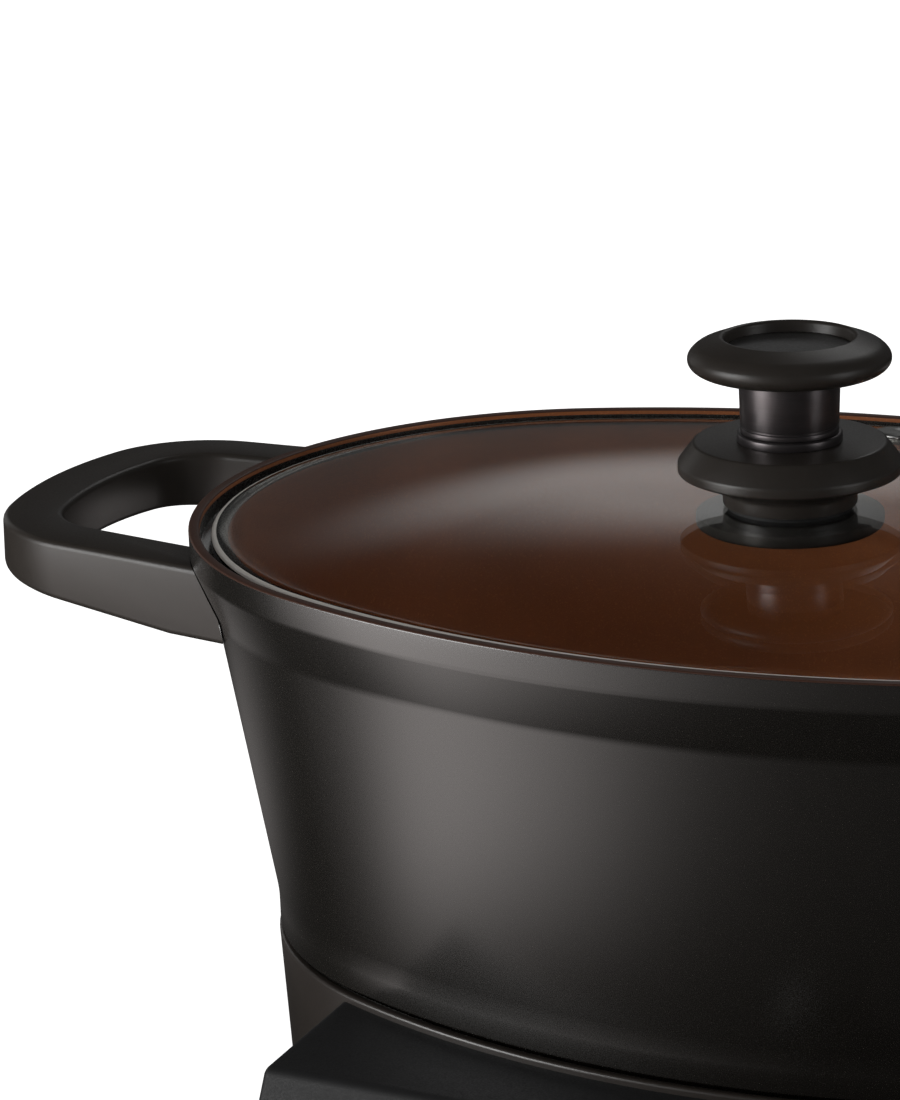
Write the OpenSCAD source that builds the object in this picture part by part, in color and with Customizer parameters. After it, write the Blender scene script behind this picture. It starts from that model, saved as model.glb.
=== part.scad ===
// Oval multicooker: a lift-off glass lid on a cast oval pot, which nests in a heated base
// with a sloping control console. Millimetres, +Z up, standing on its feet at z = 0.
// Plan curves are four-arc ovals: every ring, wall and plate is the rim oval moved inward.

/* [Pot] */
// Length of the pot over its rim
rim_l = 320; // [296:1:350]
// Width of the pot over its rim
rim_w = 228; // [216:1:240]
// Height of the pot from the seam with the base up to the rim
pot_h = 110.5; // [90:0.5:150]
// Depth of the part of the pot that nests in the base
nest_h = 17.5; // [12:0.5:24]
// Height of the lip band under the rim
lip_h = 7; // [4:0.5:12]
// Width of the lip's top face
lip_w = 2.9; // [2:0.1:5]
// Depth of the ledge that carries the lid, below the rim
ledge_d = 5; // [3:0.1:8]
// Width of the ledge that carries the lid
ledge_w = 8; // [5:0.5:12]
// Height of the undercut band below the lip
band_h = 14; // [8:0.5:24]
// Inset of the wall at the foot of the undercut band
band_in = 5.8; // [3:0.1:8]
// Inset of the wall at the heel of the pot
heel_in = 18.7; // [12:0.1:24]
// Height of the upright heel above the seam
heel_h = 9.5; // [5:0.5:20]
// Wall thickness of the pot
pot_wall = 3.2; // [2:0.1:5]
// Floor thickness of the pot
pot_floor = 4; // [3:0.1:7]
// Bevel round the pot's underside
pot_bevel = 6; // [2:0.5:9]

/* [Lid] */
// Gap between the lip and the edge of the glass
lid_gap = 2.8; // [1:0.1:4]
// Thickness of the glass
glass_t = 4; // [3:0.1:6]
// Height of the glass at its centre above the rim
dome_rise = 5.9; // [3:0.1:20]
// Inset at which the steep shoulder of the glass ends
shoulder_in = 34; // [33:1:45]
// Inset at which the glass turns flat
crown_in = 60; // [50:1:75]
// Share of the dome's rise that the shoulder climbs
shoulder_share = 0.63; // [0.5:0.01:0.8]
// Inset of the steam vent from the rim, at the back
vent_in = 22; // [20:0.5:24]
// Radius of the vent eyelet's flange
vent_flange_r = 9; // [6:0.5:10]
// Radius of the vent eyelet's tube
vent_tube_r = 3.6; // [3:0.1:4.5]
// Radius of the steam hole
vent_hole_r = 2.2; // [1:0.1:2.5]

/* [Knob] */
// Radius of the knob cap
cap_r = 25.5; // [22:0.5:30]
// Radius of the cap's round edge, half of its height
cap_round = 5.2; // [4:0.1:6.5]
// Radius of the round recess in the cap
recess_r = 16.9; // [12:0.1:18]
// Depth of the recess in the cap
recess_d = 2.6; // [2:0.1:3]
// Thickness of the inlay disc in the recess
inlay_t = 1.2; // [0.8:0.1:1.8]
// Radius of the metal neck
neck_r = 12.6; // [10:0.1:15]
// Height of the metal neck
neck_h = 14.3; // [10:0.1:25]
// Height of the trim ring under the neck
ring_h = 2.4; // [1:0.1:4]
// Amount that the trim ring stands out from the neck
ring_out = 0.7; // [0.2:0.1:1.5]
// Radius of the heat guard's top face
guard_top_r = 24.3; // [18:0.1:26]
// Outer radius of the heat guard
guard_r = 28.3; // [27:0.1:34]
// Height of the heat guard from its underside to its top
guard_h = 7.5; // [5:0.1:10]
// Height of the heat guard's upright edge
guard_edge_h = 1.6; // [0.8:0.1:3]
// Radius of the pedestal under the heat guard
pedestal_r = 17; // [14:0.1:20]
// Height of the pedestal
pedestal_h = 8.6; // [5:0.1:14]
// Thickness of the silicone gasket between the pedestal and the glass
gasket_t = 1; // [0.5:0.1:2]
// Radius of the knob screw's shank
screw_r = 2.5; // [2:0.1:3]
// Radius of the threaded insert in the cap
insert_r = 4; // [3.6:0.1:5]
// Length of the threaded insert in the cap
insert_l = 5; // [3:0.1:6]

/* [Handles] */
// Distance that a handle stands out from the rim's end
handle_reach = 59.7; // [50:0.5:80]
// Width of the handle bar, seen from above
handle_w = 16.4; // [12:0.1:20]
// Thickness of the handle at the pot
handle_t = 19.6; // [15:0.1:24]
// Depth of the handle's top below the rim
handle_drop = 7.5; // [7:0.1:12]
// Radius of the handle's outer end along its middle line
handle_end_r = 100; // [80:1:140]
// Half angle of the handle's outer end
handle_end_a = 15; // [12:0.5:18]
// Radius of the handle's corners along their middle line
handle_corner_r = 27; // [20:0.5:32]
// Angle by which the arms open towards the pot
handle_toe = 6; // [0:0.5:10]
// Angle by which the handle rises towards its tip
handle_rise = 1.8; // [0:0.1:4]
// Angle by which the underside closes towards the tip
handle_taper = 5.2; // [0:0.1:7]
// Radius of the studs that hold the handles
stud_r = 3; // [2:0.1:4]
// Length of the stud inside the handle
stud_l = 18; // [10:0.5:26]
// Depth of the stud's root in the pot wall
stud_root = 2; // [1:0.1:2.5]

/* [Base] */
// Height of the feet
foot_h = 6; // [4:0.5:12]
// Radius of the feet
foot_r = 10; // [7:0.5:12]
// Height of the base shell
shell_h = 56; // [54:0.5:80]
// Wall thickness of the base shell
shell_wall = 2.6; // [2:0.1:3.2]
// Inset of the shell's top edge from the rim
collar_in = 18.3; // [16:0.1:19]
// Extra inset of the shell at its bottom edge
shell_draft = 2.7; // [0:0.1:3.5]
// Height of the dark seam between the base and the pot
seam = 1.5; // [0.8:0.1:3]
// Width of the flange that the bottom cover closes on
flange_w = 10; // [8:0.5:14]
// Thickness of the flange that the bottom cover closes on
flange_t = 2.6; // [2:0.1:4]
// Thickness of the bottom cover
cover_t = 2.5; // [2:0.1:4]
// Thickness of the steel pan
pan_t = 0.9; // [0.6:0.1:1.5]
// Gap between the pan and the pot
pan_gap = 1.6; // [1:0.1:2.5]
// Thickness of the heating plate
plate_t = 7; // [5:0.5:10]
// Inset of the heating plate's edge from the pot's nested wall
plate_in = 8; // [7:0.5:14]
// Radius of the heating tube
tube_r = 3.2; // [2.5:0.1:4]
// Inset of the heating tube from the plate's edge
tube_in = 29; // [20:1:34]
// Radius of the temperature sensor's cap
sensor_r = 14; // [11:0.5:16]
// Stroke of the temperature sensor
sensor_stroke = 1.5; // [0.5:0.1:2]

/* [Console] */
// Width of the control console
console_w = 190; // [176:1:220]
// Distance that the console stands out from the front of the base
console_out = 52; // [46:1:70]
// Drop of the console's top below the top of the base
console_drop = 2; // [0.5:0.5:6]
// Run of the sloping face, front to back
slope_run = 30; // [24:1:36]
// Height of the upright lip under the sloping face
console_lip = 4; // [2:0.5:8]
// Radius of the console's front corners, seen from above
console_corner_r = 22; // [12:1:24]
// Wall thickness of the console
console_wall = 3; // [2.4:0.1:4]
// Width of the fascia
fascia_w = 144; // [140:1:150]
// Height of the fascia along the slope
fascia_h = 46; // [45:0.5:48]
// Thickness of the fascia
fascia_t = 2; // [1.6:0.1:2.4]
// Width of the ledge that carries the fascia
fascia_ledge = 5; // [3:0.5:6]
// Radius of the control dial
dial_r = 18; // [14:0.5:19]
// Height of the control dial
dial_h = 14; // [11:0.5:20]
// Distance of the dial from the console's middle
dial_u = 40; // [38:0.5:44]
// Radius of a button
button_r = 5.5; // [4:0.1:6]
// Stroke of a button
button_stroke = 1; // [0.4:0.1:1.5]
// Pitch of the buttons
button_pitch = 18; // [16:0.5:19]
// Width of the display window
window_w = 40; // [30:0.5:42]
// Height of the display window
window_h = 22; // [14:0.5:26]
// Depth of the control board behind the fascia's face
board_depth = 12; // [11:0.5:13]

/* [Power] */
// Width of the power inlet
inlet_w = 28; // [24:0.5:34]
// Height of the power inlet
inlet_h = 19; // [16:0.5:19]
// Length of the power inlet
inlet_l = 22; // [18:0.5:26]
// Depth of the inlet's socket
socket_d = 15; // [12:0.5:15]
// Wall thickness of the inlet
inlet_wall = 2.5; // [2:0.1:3.5]
// Width of the power board
power_w = 108; // [80:1:120]
// Length of the power board, front to back
power_l = 58; // [45:1:62]

/* [Fits] */
// Clearance of seated pieces within one assembly
seat_gap = 0.1; // [0.05:0.01:0.2]
// Clearance round loose pieces
loose_gap = 0.3; // [0.3:0.05:0.4]
// Clearance of a running fit, on the radius
run_gap = 0.05; // [0.02:0.01:0.08]

/* [Hidden] */
$fn = 96;

// Overlap of joined shapes, and of cuts past a face
lap = 1;

// Four-arc oval: end arcs about (+-end_c, 0), side arcs about (0, -+side_c). The centres stand at 5 and
// 12 units from the middle, so 13 units lie between them and the arcs meet exactly.
plan_unit = (rim_l - rim_w) / 8;
end_c = 5 * plan_unit;
side_c = 12 * plan_unit;
end_r = rim_w / 2 - plan_unit;
side_r = end_r + 13 * plan_unit;

// Heights
collar_z = foot_h + shell_h;
heel_z = collar_z + seam;
rim_z = heel_z + pot_h;
pot_z = heel_z - nest_h;
ledge_z = rim_z - ledge_d;
band_z = rim_z - lip_h - band_h;
crease_z = heel_z + heel_h;
cover_z = foot_h + cover_t;
plate_z = pot_z - plate_t;
tube_z = plate_z - seat_gap - tube_r;
pan_z = tube_z - tube_r - 2 * loose_gap - pan_t;
glass_z = rim_z + dome_rise;

// Insets
ledge_in = lip_w + ledge_w;
foot_in = collar_in + shell_draft;
pan_in = collar_in + shell_draft * (collar_z - pan_z) / shell_h + shell_wall + loose_gap + pan_t;
nest_in = pan_in + pan_gap;
glass_in = lip_w + lid_gap;
plate_edge_in = nest_in + plate_in;
tube_line_in = plate_edge_in + tube_in;
cover_in = foot_in + shell_wall + loose_gap;

// Knob heights above the glass
guard_z = glass_z + gasket_t + pedestal_h;
ring_z = guard_z + guard_h;
neck_z = ring_z + ring_h;
cap_z = neck_z + neck_h;
cap_top = cap_z + 2 * cap_round;

// Console slope: its middle, its length and its tilt from the level
front_y = -(rim_w / 2 - collar_in + console_out);
console_top = collar_z - console_drop;
slope_z = foot_h + console_lip;
slope_rise = console_top - slope_z;
slope_tilt = atan2(slope_rise, slope_run);
board_t = 1.6;

// The dial's foremost edge, which may stand out past the foot of the console
dial_gap = 0.8;
dial_bevel = 1.5;
dial_top = dial_gap + dial_h;
dial_lean = max(
    dial_top * sin(slope_tilt) + (dial_r - dial_bevel) * cos(slope_tilt),
    (dial_top - 2 * dial_bevel) * sin(slope_tilt) + dial_r * cos(slope_tilt)
);
reach_front = max(-front_y, -front_y - slope_run / 2 + dial_lean);

// The pot's axis lies behind the origin, which is the middle of the whole footprint
pot_y = (reach_front - rim_w / 2) / 2;

module about_pot() {
    translate([0, pot_y, 0]) children();
}

// The plan is cut where the arcs meet, on lines from the side arcs' centres through the end arcs' centres
meet_far = [4 * end_c, 3 * side_c];
side_plan = [[-end_c, 0], [end_c, 0], meet_far, [-meet_far.x, meet_far.y]];
end_plan = [[end_c, 0], meet_far, [meet_far.x, -meet_far.y]];

module upright(plan) {
    translate([0, 0, -rim_l]) linear_extrude(3 * rim_l) polygon(plan);
}

// Sweep a section, drawn with x = -inset and y = height, round the oval
module oval_ring() {
    for (turn = [0, 180])
        rotate([0, 0, turn]) {
            intersection() {
                translate([end_c, 0, 0]) rotate_extrude() translate([end_r, 0]) children();
                upright(end_plan);
            }
            intersection() {
                translate([0, -side_c, 0]) rotate_extrude() translate([side_r, 0]) children();
                upright(side_plan);
            }
        }
}

// The oval moved inward by an inset, as a flat shape
module oval_2d(inset) {
    for (turn = [0, 180])
        rotate([0, 0, turn]) {
            translate([end_c, 0]) circle(end_r - inset);
            intersection() {
                translate([0, -side_c]) circle(side_r - inset);
                polygon(side_plan);
            }
        }
}

module oval_plate(inset, z, t) {
    translate([0, 0, z]) linear_extrude(t) oval_2d(inset);
}

module at_z(z) {
    translate([0, 0, z]) children();
}

// Copies at four mirrored places
module four(x, y) {
    for (sx = [-1, 1], sy = [-1, 1])
        translate([sx * x, sy * y, 0]) children();
}

// Plain screw, head down at z = 0 and shank upwards
module screw(r, length, head_h) {
    translate([0, 0, -head_h]) cylinder(h = head_h, r = 2 * r, $fn = 48);
    cylinder(h = length, r = r, $fn = 48);
}

// Lid
shoulder_z = ledge_z + glass_t + (glass_z - ledge_z - glass_t) * shoulder_share;
glass_foot_in = ledge_in - ledge_w / 8;
shoulder_slope = (shoulder_z - ledge_z - glass_t) / (shoulder_in - glass_foot_in);
vent_tilt = atan(shoulder_slope);
vent_z = ledge_z + glass_t + (vent_in - glass_foot_in) * shoulder_slope;
glass_chamfer = 0.8;
vent_flange_t = 1.2;
vent_rivet = 2;

module at_vent() {
    translate([0, rim_w / 2 - vent_in, vent_z]) rotate([-vent_tilt, 0, 0]) children();
}

module lid_glass() {
    color([0.75, 0.8, 0.8, 0.5]) about_pot() difference() {
        union() {
            oval_ring() polygon([
                [-glass_in, ledge_z], [-glass_in, ledge_z + glass_t - glass_chamfer],
                [-glass_in - glass_chamfer, ledge_z + glass_t], [-glass_foot_in, ledge_z + glass_t],
                [-shoulder_in, shoulder_z], [-crown_in, glass_z], [-crown_in - 2 * lap, glass_z],
                [-crown_in - 2 * lap, glass_z - glass_t], [-crown_in, glass_z - glass_t],
                [-shoulder_in, shoulder_z - glass_t], [-glass_foot_in, ledge_z]
            ]);
            oval_plate(crown_in + lap, glass_z - glass_t, glass_t);
        }
        at_z(glass_z - 2 * glass_t) cylinder(h = 3 * glass_t, r = screw_r + loose_gap);
        at_vent() at_z(-2 * glass_t) cylinder(h = 4 * glass_t, r = vent_tube_r + loose_gap);
    }
}

module vent_eyelet() {
    color("silver") about_pot() at_vent() difference() {
        union() {
            at_z(loose_gap) cylinder(h = vent_flange_t, r = vent_flange_r);
            at_z(-glass_t - loose_gap - vent_flange_t)
                cylinder(h = glass_t + 2 * loose_gap + 2 * vent_flange_t, r = vent_tube_r);
            at_z(-glass_t - loose_gap - vent_flange_t)
                cylinder(h = vent_flange_t, r = vent_tube_r + vent_rivet);
        }
        at_z(-2 * glass_t) cylinder(h = 4 * glass_t, r = vent_hole_r);
    }
}

// Insets of the upper gasket and the washer from the pedestal's edge
upper_gasket_in = 1;
washer_in = 5;
washer_t = 1.2;

// The lower gasket is a thick pad, wider than the pedestal
lower_gasket_out = 6.8;
lower_gasket_t = 3.4;
lower_gasket_z = glass_z - glass_t - lower_gasket_t;

// Flat washer on the knob's axis
module knob_disc(r, z, t) {
    about_pot() at_z(z) difference() {
        cylinder(h = t, r = r);
        at_z(-t) cylinder(h = 3 * t, r = screw_r + seat_gap);
    }
}

module upper_gasket() {
    color("dimgray") knob_disc(pedestal_r - upper_gasket_in, glass_z, gasket_t);
}

module lower_gasket() {
    color("dimgray") knob_disc(pedestal_r + lower_gasket_out, lower_gasket_z, lower_gasket_t);
}

module knob_washer() {
    color("silver") knob_disc(pedestal_r - washer_in, lower_gasket_z - washer_t, washer_t);
}

module knob_screw() {
    head_z = lower_gasket_z - washer_t;
    color("silver") about_pot() at_z(head_z) screw(screw_r, cap_z + insert_l - head_z, screw_r);
}

module heat_guard() {
    edge_z = guard_z + 0.4;
    slant = 4.4;
    color([0.1, 0.09, 0.09]) about_pot() rotate_extrude() polygon([
        [screw_r + seat_gap, guard_z - pedestal_h], [pedestal_r, guard_z - pedestal_h],
        [pedestal_r, edge_z - slant / 2], [guard_r - slant, edge_z - slant / 2], [guard_r, edge_z],
        [guard_r, edge_z + guard_edge_h], [guard_top_r, guard_z + guard_h],
        [screw_r + seat_gap, guard_z + guard_h]
    ]);
}

module neck_ring() {
    color([0.25, 0.24, 0.24]) knob_disc(neck_r + ring_out, ring_z, ring_h);
}

module knob_neck() {
    color([0.2, 0.19, 0.19]) knob_disc(neck_r, neck_z, neck_h);
}

module knob_cap() {
    color([0.1, 0.09, 0.09]) about_pot() difference() {
        rotate_extrude() {
            translate([cap_r - cap_round, cap_z + cap_round]) circle(cap_round);
            translate([0, cap_z]) square([cap_r - cap_round, 2 * cap_round]);
        }
        at_z(cap_top - recess_d) cylinder(h = 2 * recess_d, r = recess_r);
        at_z(cap_z - lap) cylinder(h = lap + insert_l, r = insert_r + seat_gap);
    }
}

module knob_insert() {
    color("goldenrod") about_pot() at_z(cap_z) difference() {
        cylinder(h = insert_l, r = insert_r);
        at_z(-lap) cylinder(h = insert_l + 2 * lap, r = screw_r + run_gap);
    }
}

module knob_inlay() {
    color([0.16, 0.15, 0.15]) about_pot() at_z(cap_top - recess_d)
        cylinder(h = inlay_t, r = recess_r - seat_gap);
}

// Handles, drawn on the right: a loop of an end arc, two corners and two arms
handle_line = rim_l / 2 + handle_reach - handle_w / 2;
handle_end_c = handle_line - handle_end_r;
corner_reach = handle_end_r - handle_corner_r;
corner_x = handle_end_c + corner_reach * cos(handle_end_a);
corner_y = corner_reach * sin(handle_end_a);
arm_a = 90 - handle_toe;
arm_x = corner_x + handle_corner_r * cos(arm_a);
arm_y = corner_y + handle_corner_r * sin(arm_a);

function arc(centre, r, from, to, steps) = [
    for (i = [0 : steps])
        let (a = from + (to - from) * i / steps) centre + r * [cos(a), sin(a)]
];

// Back half of the handle's plan at a distance from its middle line, from the tip to inside the pot
function half_loop(out, reach) = concat(
    arc([handle_end_c, 0], handle_end_r + out, 0, handle_end_a, 6),
    arc([corner_x, corner_y], handle_corner_r + out, handle_end_a, arm_a, 12),
    [[arm_x, arm_y] + out * [cos(arm_a), sin(arm_a)] + reach * [-sin(arm_a), cos(arm_a)]]
);

module loop_plan(out, reach) {
    half = half_loop(out, reach);
    last = len(half) - 1;
    polygon(concat(half, [for (i = [last : -1 : 1]) [half[i].x, -half[i].y]]));
}

// Length of an arm's middle line from its corner to the pot wall
stud_drop = handle_t / 2;
stud_room = 1;
taper_start = 10;
stud_in = band_in * (handle_drop + stud_drop - lip_h) / band_h;
to_wall = (arm_x - end_c) * cos(handle_toe) - arm_y * sin(handle_toe);
wall_dist2 = pow(arm_x - end_c, 2) + pow(arm_y, 2) - pow(end_r - stud_in, 2);
arm_l = to_wall - sqrt(to_wall * to_wall - wall_dist2);

// Frame of a handle: its top face at z = 0, turned up towards the tip
module at_handle() {
    translate([rim_l / 2, 0, rim_z - handle_drop]) rotate([0, -handle_rise, 0])
        translate([-rim_l / 2, 0, 0]) children();
}

// Frame of the back arm: y runs along the arm to the pot, from the corner
module at_arm() {
    translate([corner_x, corner_y, 0]) rotate([0, 0, arm_a])
        translate([handle_corner_r, 0, 0]) children();
}

// The solid inside of the pot's upper wall, grown by a gap
module pot_core(gap) {
    deep = 40;
    low_z = band_z - deep;
    low_in = band_in + deep * (heel_in - band_in) / (band_z - crease_z);
    oval_ring() polygon([
        [gap, rim_z], [gap, rim_z - lip_h], [gap - band_in, band_z], [gap - low_in, low_z],
        [-end_r / 2, low_z], [-end_r / 2, rim_z]
    ]);
}

module studs_at_arms(r, tip) {
    for (side = [0, 1])
        mirror([0, side, 0]) at_arm() translate([0, arm_l + stud_root, -stud_drop]) rotate([90, 0, 0])
            cylinder(h = stud_root + stud_l + tip, r = r, $fn = 48);
}

module handle() {
    spill = 30;
    difference() {
        at_handle() difference() {
            translate([0, 0, -handle_t]) linear_extrude(handle_t) difference() {
                loop_plan(handle_w / 2, arm_l + spill);
                loop_plan(-handle_w / 2, arm_l + 2 * spill);
            }
            studs_at_arms(stud_r + seat_gap, stud_room);
            translate([rim_l / 2 - taper_start, 0, -handle_t]) rotate([0, -handle_taper, 0])
                translate([-rim_l / 2, -rim_w / 2, -2 * handle_t]) cube([rim_l, rim_w, 2 * handle_t]);
        }
        pot_core(seat_gap);
    }
}

module left_handle() {
    color([0.15, 0.14, 0.13]) about_pot() mirror([1, 0, 0]) handle();
}

module right_handle() {
    color([0.15, 0.14, 0.13]) about_pot() handle();
}

module handle_studs() {
    color("silver") about_pot()
        for (side = [0, 1])
            mirror([side, 0, 0]) at_handle() studs_at_arms(stud_r, 0);
}

// Pot
module pot_shell() {
    inner_heel = heel_in + pot_wall;
    inner_nest = nest_in + pot_wall;
    floor_z = pot_z + pot_floor;
    floor_edge_in = plate_edge_in + 2 * lap;
    ledge_drop = (ledge_in - band_in - pot_wall) * (band_z - crease_z) / (heel_in - band_in);
    lip_bevel = 0.6;
    color([0.16, 0.15, 0.14]) about_pot() difference() {
        union() {
            oval_ring() polygon([
                [0, rim_z - lip_bevel], [0, rim_z - lip_h], [-band_in, band_z], [-heel_in, crease_z],
                [-heel_in, heel_z], [-nest_in, heel_z], [-nest_in, pot_z + pot_bevel],
                [-nest_in - pot_bevel, pot_z], [-floor_edge_in, pot_z], [-floor_edge_in, floor_z],
                [-inner_nest - pot_bevel, floor_z], [-inner_nest, floor_z + pot_bevel],
                [-inner_nest, heel_z + pot_wall], [-inner_heel, heel_z + pot_wall + nest_in - heel_in],
                [-inner_heel, crease_z], [-ledge_in, band_z - ledge_drop], [-ledge_in, ledge_z],
                [-lip_w, ledge_z], [-lip_w, rim_z - lip_bevel], [-lip_w + lip_bevel, rim_z],
                [-lip_bevel, rim_z]
            ]);
            oval_plate(plate_edge_in + lap, pot_z, pot_floor);
        }
        for (side = [0, 1])
            mirror([side, 0, 0]) at_handle() studs_at_arms(stud_r + run_gap, 0);
    }
}

// Base
flange_in = foot_in + shell_wall + flange_w;
cover_screw_in = flange_in - 0.4 * flange_w;
cover_screw_a = 40;
inlet_z = cover_z;
inlet_y = rim_w / 2 - collar_in;
pillar_x = end_c + 0.37 * end_r;
pillar_y = 0.39 * end_r;
pillar_r = 5;
boss_x = 0.87 * end_c;
boss_y = 0.21 * rim_w / 2;
boss_r = 5;
small_screw_r = 1.6;
pan_screw_l = 9;
plate_screw_l = 7;
screw_room = 3;
foot_x = end_c + 0.29 * end_r;
foot_y = 0.57 * end_r;
console_foot_x = console_w / 3;
console_foot_y = front_y + 1.6 * foot_r;
foot_peg_r = 3;
loom_r = 2.4;
power_post_h = 5;
power_z = cover_z + power_post_h;
power_top = power_z + board_t;
loom_z = power_top + loom_r + seat_gap;
loom_hole_r = 4;

// Places of the screws that hold the bottom cover
module at_cover_screws() {
    for (turn = [0, 180], a = [-cover_screw_a, cover_screw_a])
        rotate([0, 0, turn]) translate([end_c, 0, 0]) rotate([0, 0, a])
            translate([end_r - cover_screw_in, 0, 0]) children();
}

module at_base_feet() {
    four(foot_x, foot_y) children();
}

module at_console_feet() {
    for (side = [-1, 1])
        translate([side * console_foot_x, console_foot_y, 0]) children();
}

// Depth of the base's front wall at a place across it, for an inset
function front_wall(x, inset) = side_c - sqrt(pow(side_r - inset, 2) - x * x);

console_screw_x = 0.3 * console_w;
console_screw_z = cover_z + 14;
console_screw_l = 12;
console_screw_in = collar_in + shell_draft * (collar_z - console_screw_z) / shell_h;

module at_console_screws() {
    for (side = [-1, 1])
        translate([side * console_screw_x, front_wall(console_screw_x, console_screw_in), console_screw_z])
            rotate([90, 0, 0]) children();
}

module base_shell() {
    top_bevel = 0.5;
    color([0.17, 0.16, 0.15]) about_pot() difference() {
        oval_ring() polygon([
            [-collar_in - top_bevel, collar_z], [-collar_in, collar_z - top_bevel], [-foot_in, foot_h],
            [-foot_in - shell_wall, foot_h], [-foot_in - shell_wall, cover_z], [-flange_in, cover_z],
            [-flange_in, cover_z + flange_t], [-foot_in - shell_wall, cover_z + flange_t],
            [-collar_in - shell_wall, collar_z]
        ]);
        at_cover_screws() at_z(foot_h) cylinder(h = shell_h / 4, r = small_screw_r + run_gap, $fn = 48);
        translate([-inlet_w / 2 - loose_gap, 0, inlet_z])
            cube([inlet_w + 2 * loose_gap, rim_w, inlet_h + loose_gap]);
        translate([0, 0, loom_z]) rotate([90, 0, 0]) cylinder(h = rim_w, r = loom_hole_r);
        at_console_screws() at_z(-rim_w / 8)
            cylinder(h = rim_w / 4, r = small_screw_r + seat_gap, $fn = 48);
    }
}

post_r = 3;
power_post_x = power_w / 2 - 2 * post_r;
power_post_y = power_l / 2 - 2 * post_r;
power_y = 0.25 * rim_w / 2;

module bottom_cover() {
    color([0.12, 0.12, 0.12]) about_pot() difference() {
        union() {
            oval_plate(cover_in, foot_h, cover_t);
            four(pillar_x, pillar_y) at_z(foot_h) cylinder(h = pan_z - foot_h, r = pillar_r);
            translate([0, power_y, 0]) four(power_post_x, power_post_y)
                at_z(foot_h) cylinder(h = cover_t + power_post_h, r = post_r);
        }
        at_base_feet() at_z(foot_h - lap) cylinder(h = cover_t + 2 * lap, r = foot_peg_r + seat_gap);
        at_cover_screws() cylinder(h = shell_h, r = small_screw_r + seat_gap, $fn = 48);
        four(pillar_x, pillar_y) at_z(pan_z - pan_screw_l - screw_room)
            cylinder(h = pan_screw_l + screw_room + lap, r = small_screw_r + run_gap, $fn = 48);
    }
}

module cover_screws() {
    color("silver") about_pot() at_cover_screws() at_z(foot_h)
        screw(small_screw_r, cover_t + flange_t, small_screw_r);
}

module feet() {
    color([0.08, 0.08, 0.08]) about_pot() {
        at_base_feet() foot();
        at_console_feet() foot();
    }
}

module foot() {
    cylinder(h = foot_h, r = foot_r);
    cylinder(h = foot_h + cover_t, r = foot_peg_r);
}

// Steel pan: a heat shield between the heating plate and the wiring
module steel_pan() {
    pan_out = pan_in - pan_t;
    pan_drop = 2;
    lip_z = collar_z - pan_drop;
    lip_in = collar_in + shell_wall + 2 * loose_gap;
    color("silver") about_pot() difference() {
        union() {
            oval_ring() polygon([
                [-lip_in, lip_z], [-pan_in, lip_z], [-pan_in, pan_z + pan_t],
                [-plate_edge_in, pan_z + pan_t], [-plate_edge_in, pan_z], [-pan_out, pan_z],
                [-pan_out, lip_z - pan_t], [-lip_in, lip_z - pan_t]
            ]);
            oval_plate(plate_edge_in - lap, pan_z, pan_t);
        }
        cylinder(h = collar_z, r = sensor_stem_r + 2 * loose_gap);
        four(pillar_x, pillar_y) cylinder(h = collar_z, r = small_screw_r + seat_gap, $fn = 48);
        four(boss_x, boss_y) cylinder(h = collar_z, r = small_screw_r + seat_gap, $fn = 48);
        at_terminals() at_z(-collar_z) cylinder(h = 2 * collar_z, r = terminal_r + terminal_room);
    }
}

module pan_screws() {
    color("silver") about_pot() four(pillar_x, pillar_y) at_z(pan_z + pan_t) mirror([0, 0, 1])
        screw(small_screw_r, pan_screw_l, small_screw_r);
}

module heating_plate() {
    color([0.72, 0.73, 0.74]) about_pot() difference() {
        union() {
            oval_plate(plate_edge_in, plate_z, plate_t);
            four(boss_x, boss_y) at_z(pan_z + pan_t)
                cylinder(h = plate_z - pan_z - pan_t + lap, r = boss_r);
        }
        at_z(plate_z - lap) cylinder(h = plate_t + 2 * lap, r = sensor_r + sensor_room);
        four(boss_x, boss_y) at_z(pan_z)
            cylinder(h = plate_screw_l + lap, r = small_screw_r + run_gap, $fn = 48);
    }
}

module plate_screws() {
    color("silver") about_pot() four(boss_x, boss_y) at_z(pan_z)
        screw(small_screw_r, plate_screw_l, small_screw_r);
}

// Heating tube under the plate: an open oval with two cold ends at the back
terminal_x = 14;
terminal_r = 2;
terminal_drop = 14;
terminal_room = 2;
tube_gap = 2 * terminal_x - 2 * tube_r;

module at_terminals() {
    for (side = [-1, 1])
        translate([side * terminal_x, -front_wall(terminal_x, tube_line_in), tube_z]) children();
}

module heating_tube() {
    color([0.35, 0.33, 0.32]) about_pot() {
        difference() {
            oval_ring() translate([-tube_line_in, tube_z]) circle(tube_r, $fn = 48);
            translate([-tube_gap / 2, 0, 0]) cube([tube_gap, rim_w, collar_z]);
        }
        at_terminals() at_z(-terminal_drop) cylinder(h = terminal_drop, r = terminal_r);
    }
}

// Sprung temperature sensor in the middle of the plate
sensor_room = 2;
sensor_stem_r = 3;
sensor_tail = 2;
guide_r = 8;
guide_flange = 4;
guide_flange_t = 1.5;
guide_top = plate_z + 1;
sensor_top = pot_z - loose_gap;
sensor_cap_t = 2;
spring_wire = 1;

module sensor_guide() {
    color([0.85, 0.84, 0.8]) about_pot() difference() {
        union() {
            at_z(pan_z + pan_t) cylinder(h = guide_top - pan_z - pan_t, r = guide_r);
            at_z(pan_z + pan_t) cylinder(h = guide_flange_t, r = guide_r + guide_flange);
        }
        cylinder(h = collar_z, r = sensor_stem_r + run_gap);
    }
}

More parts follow.
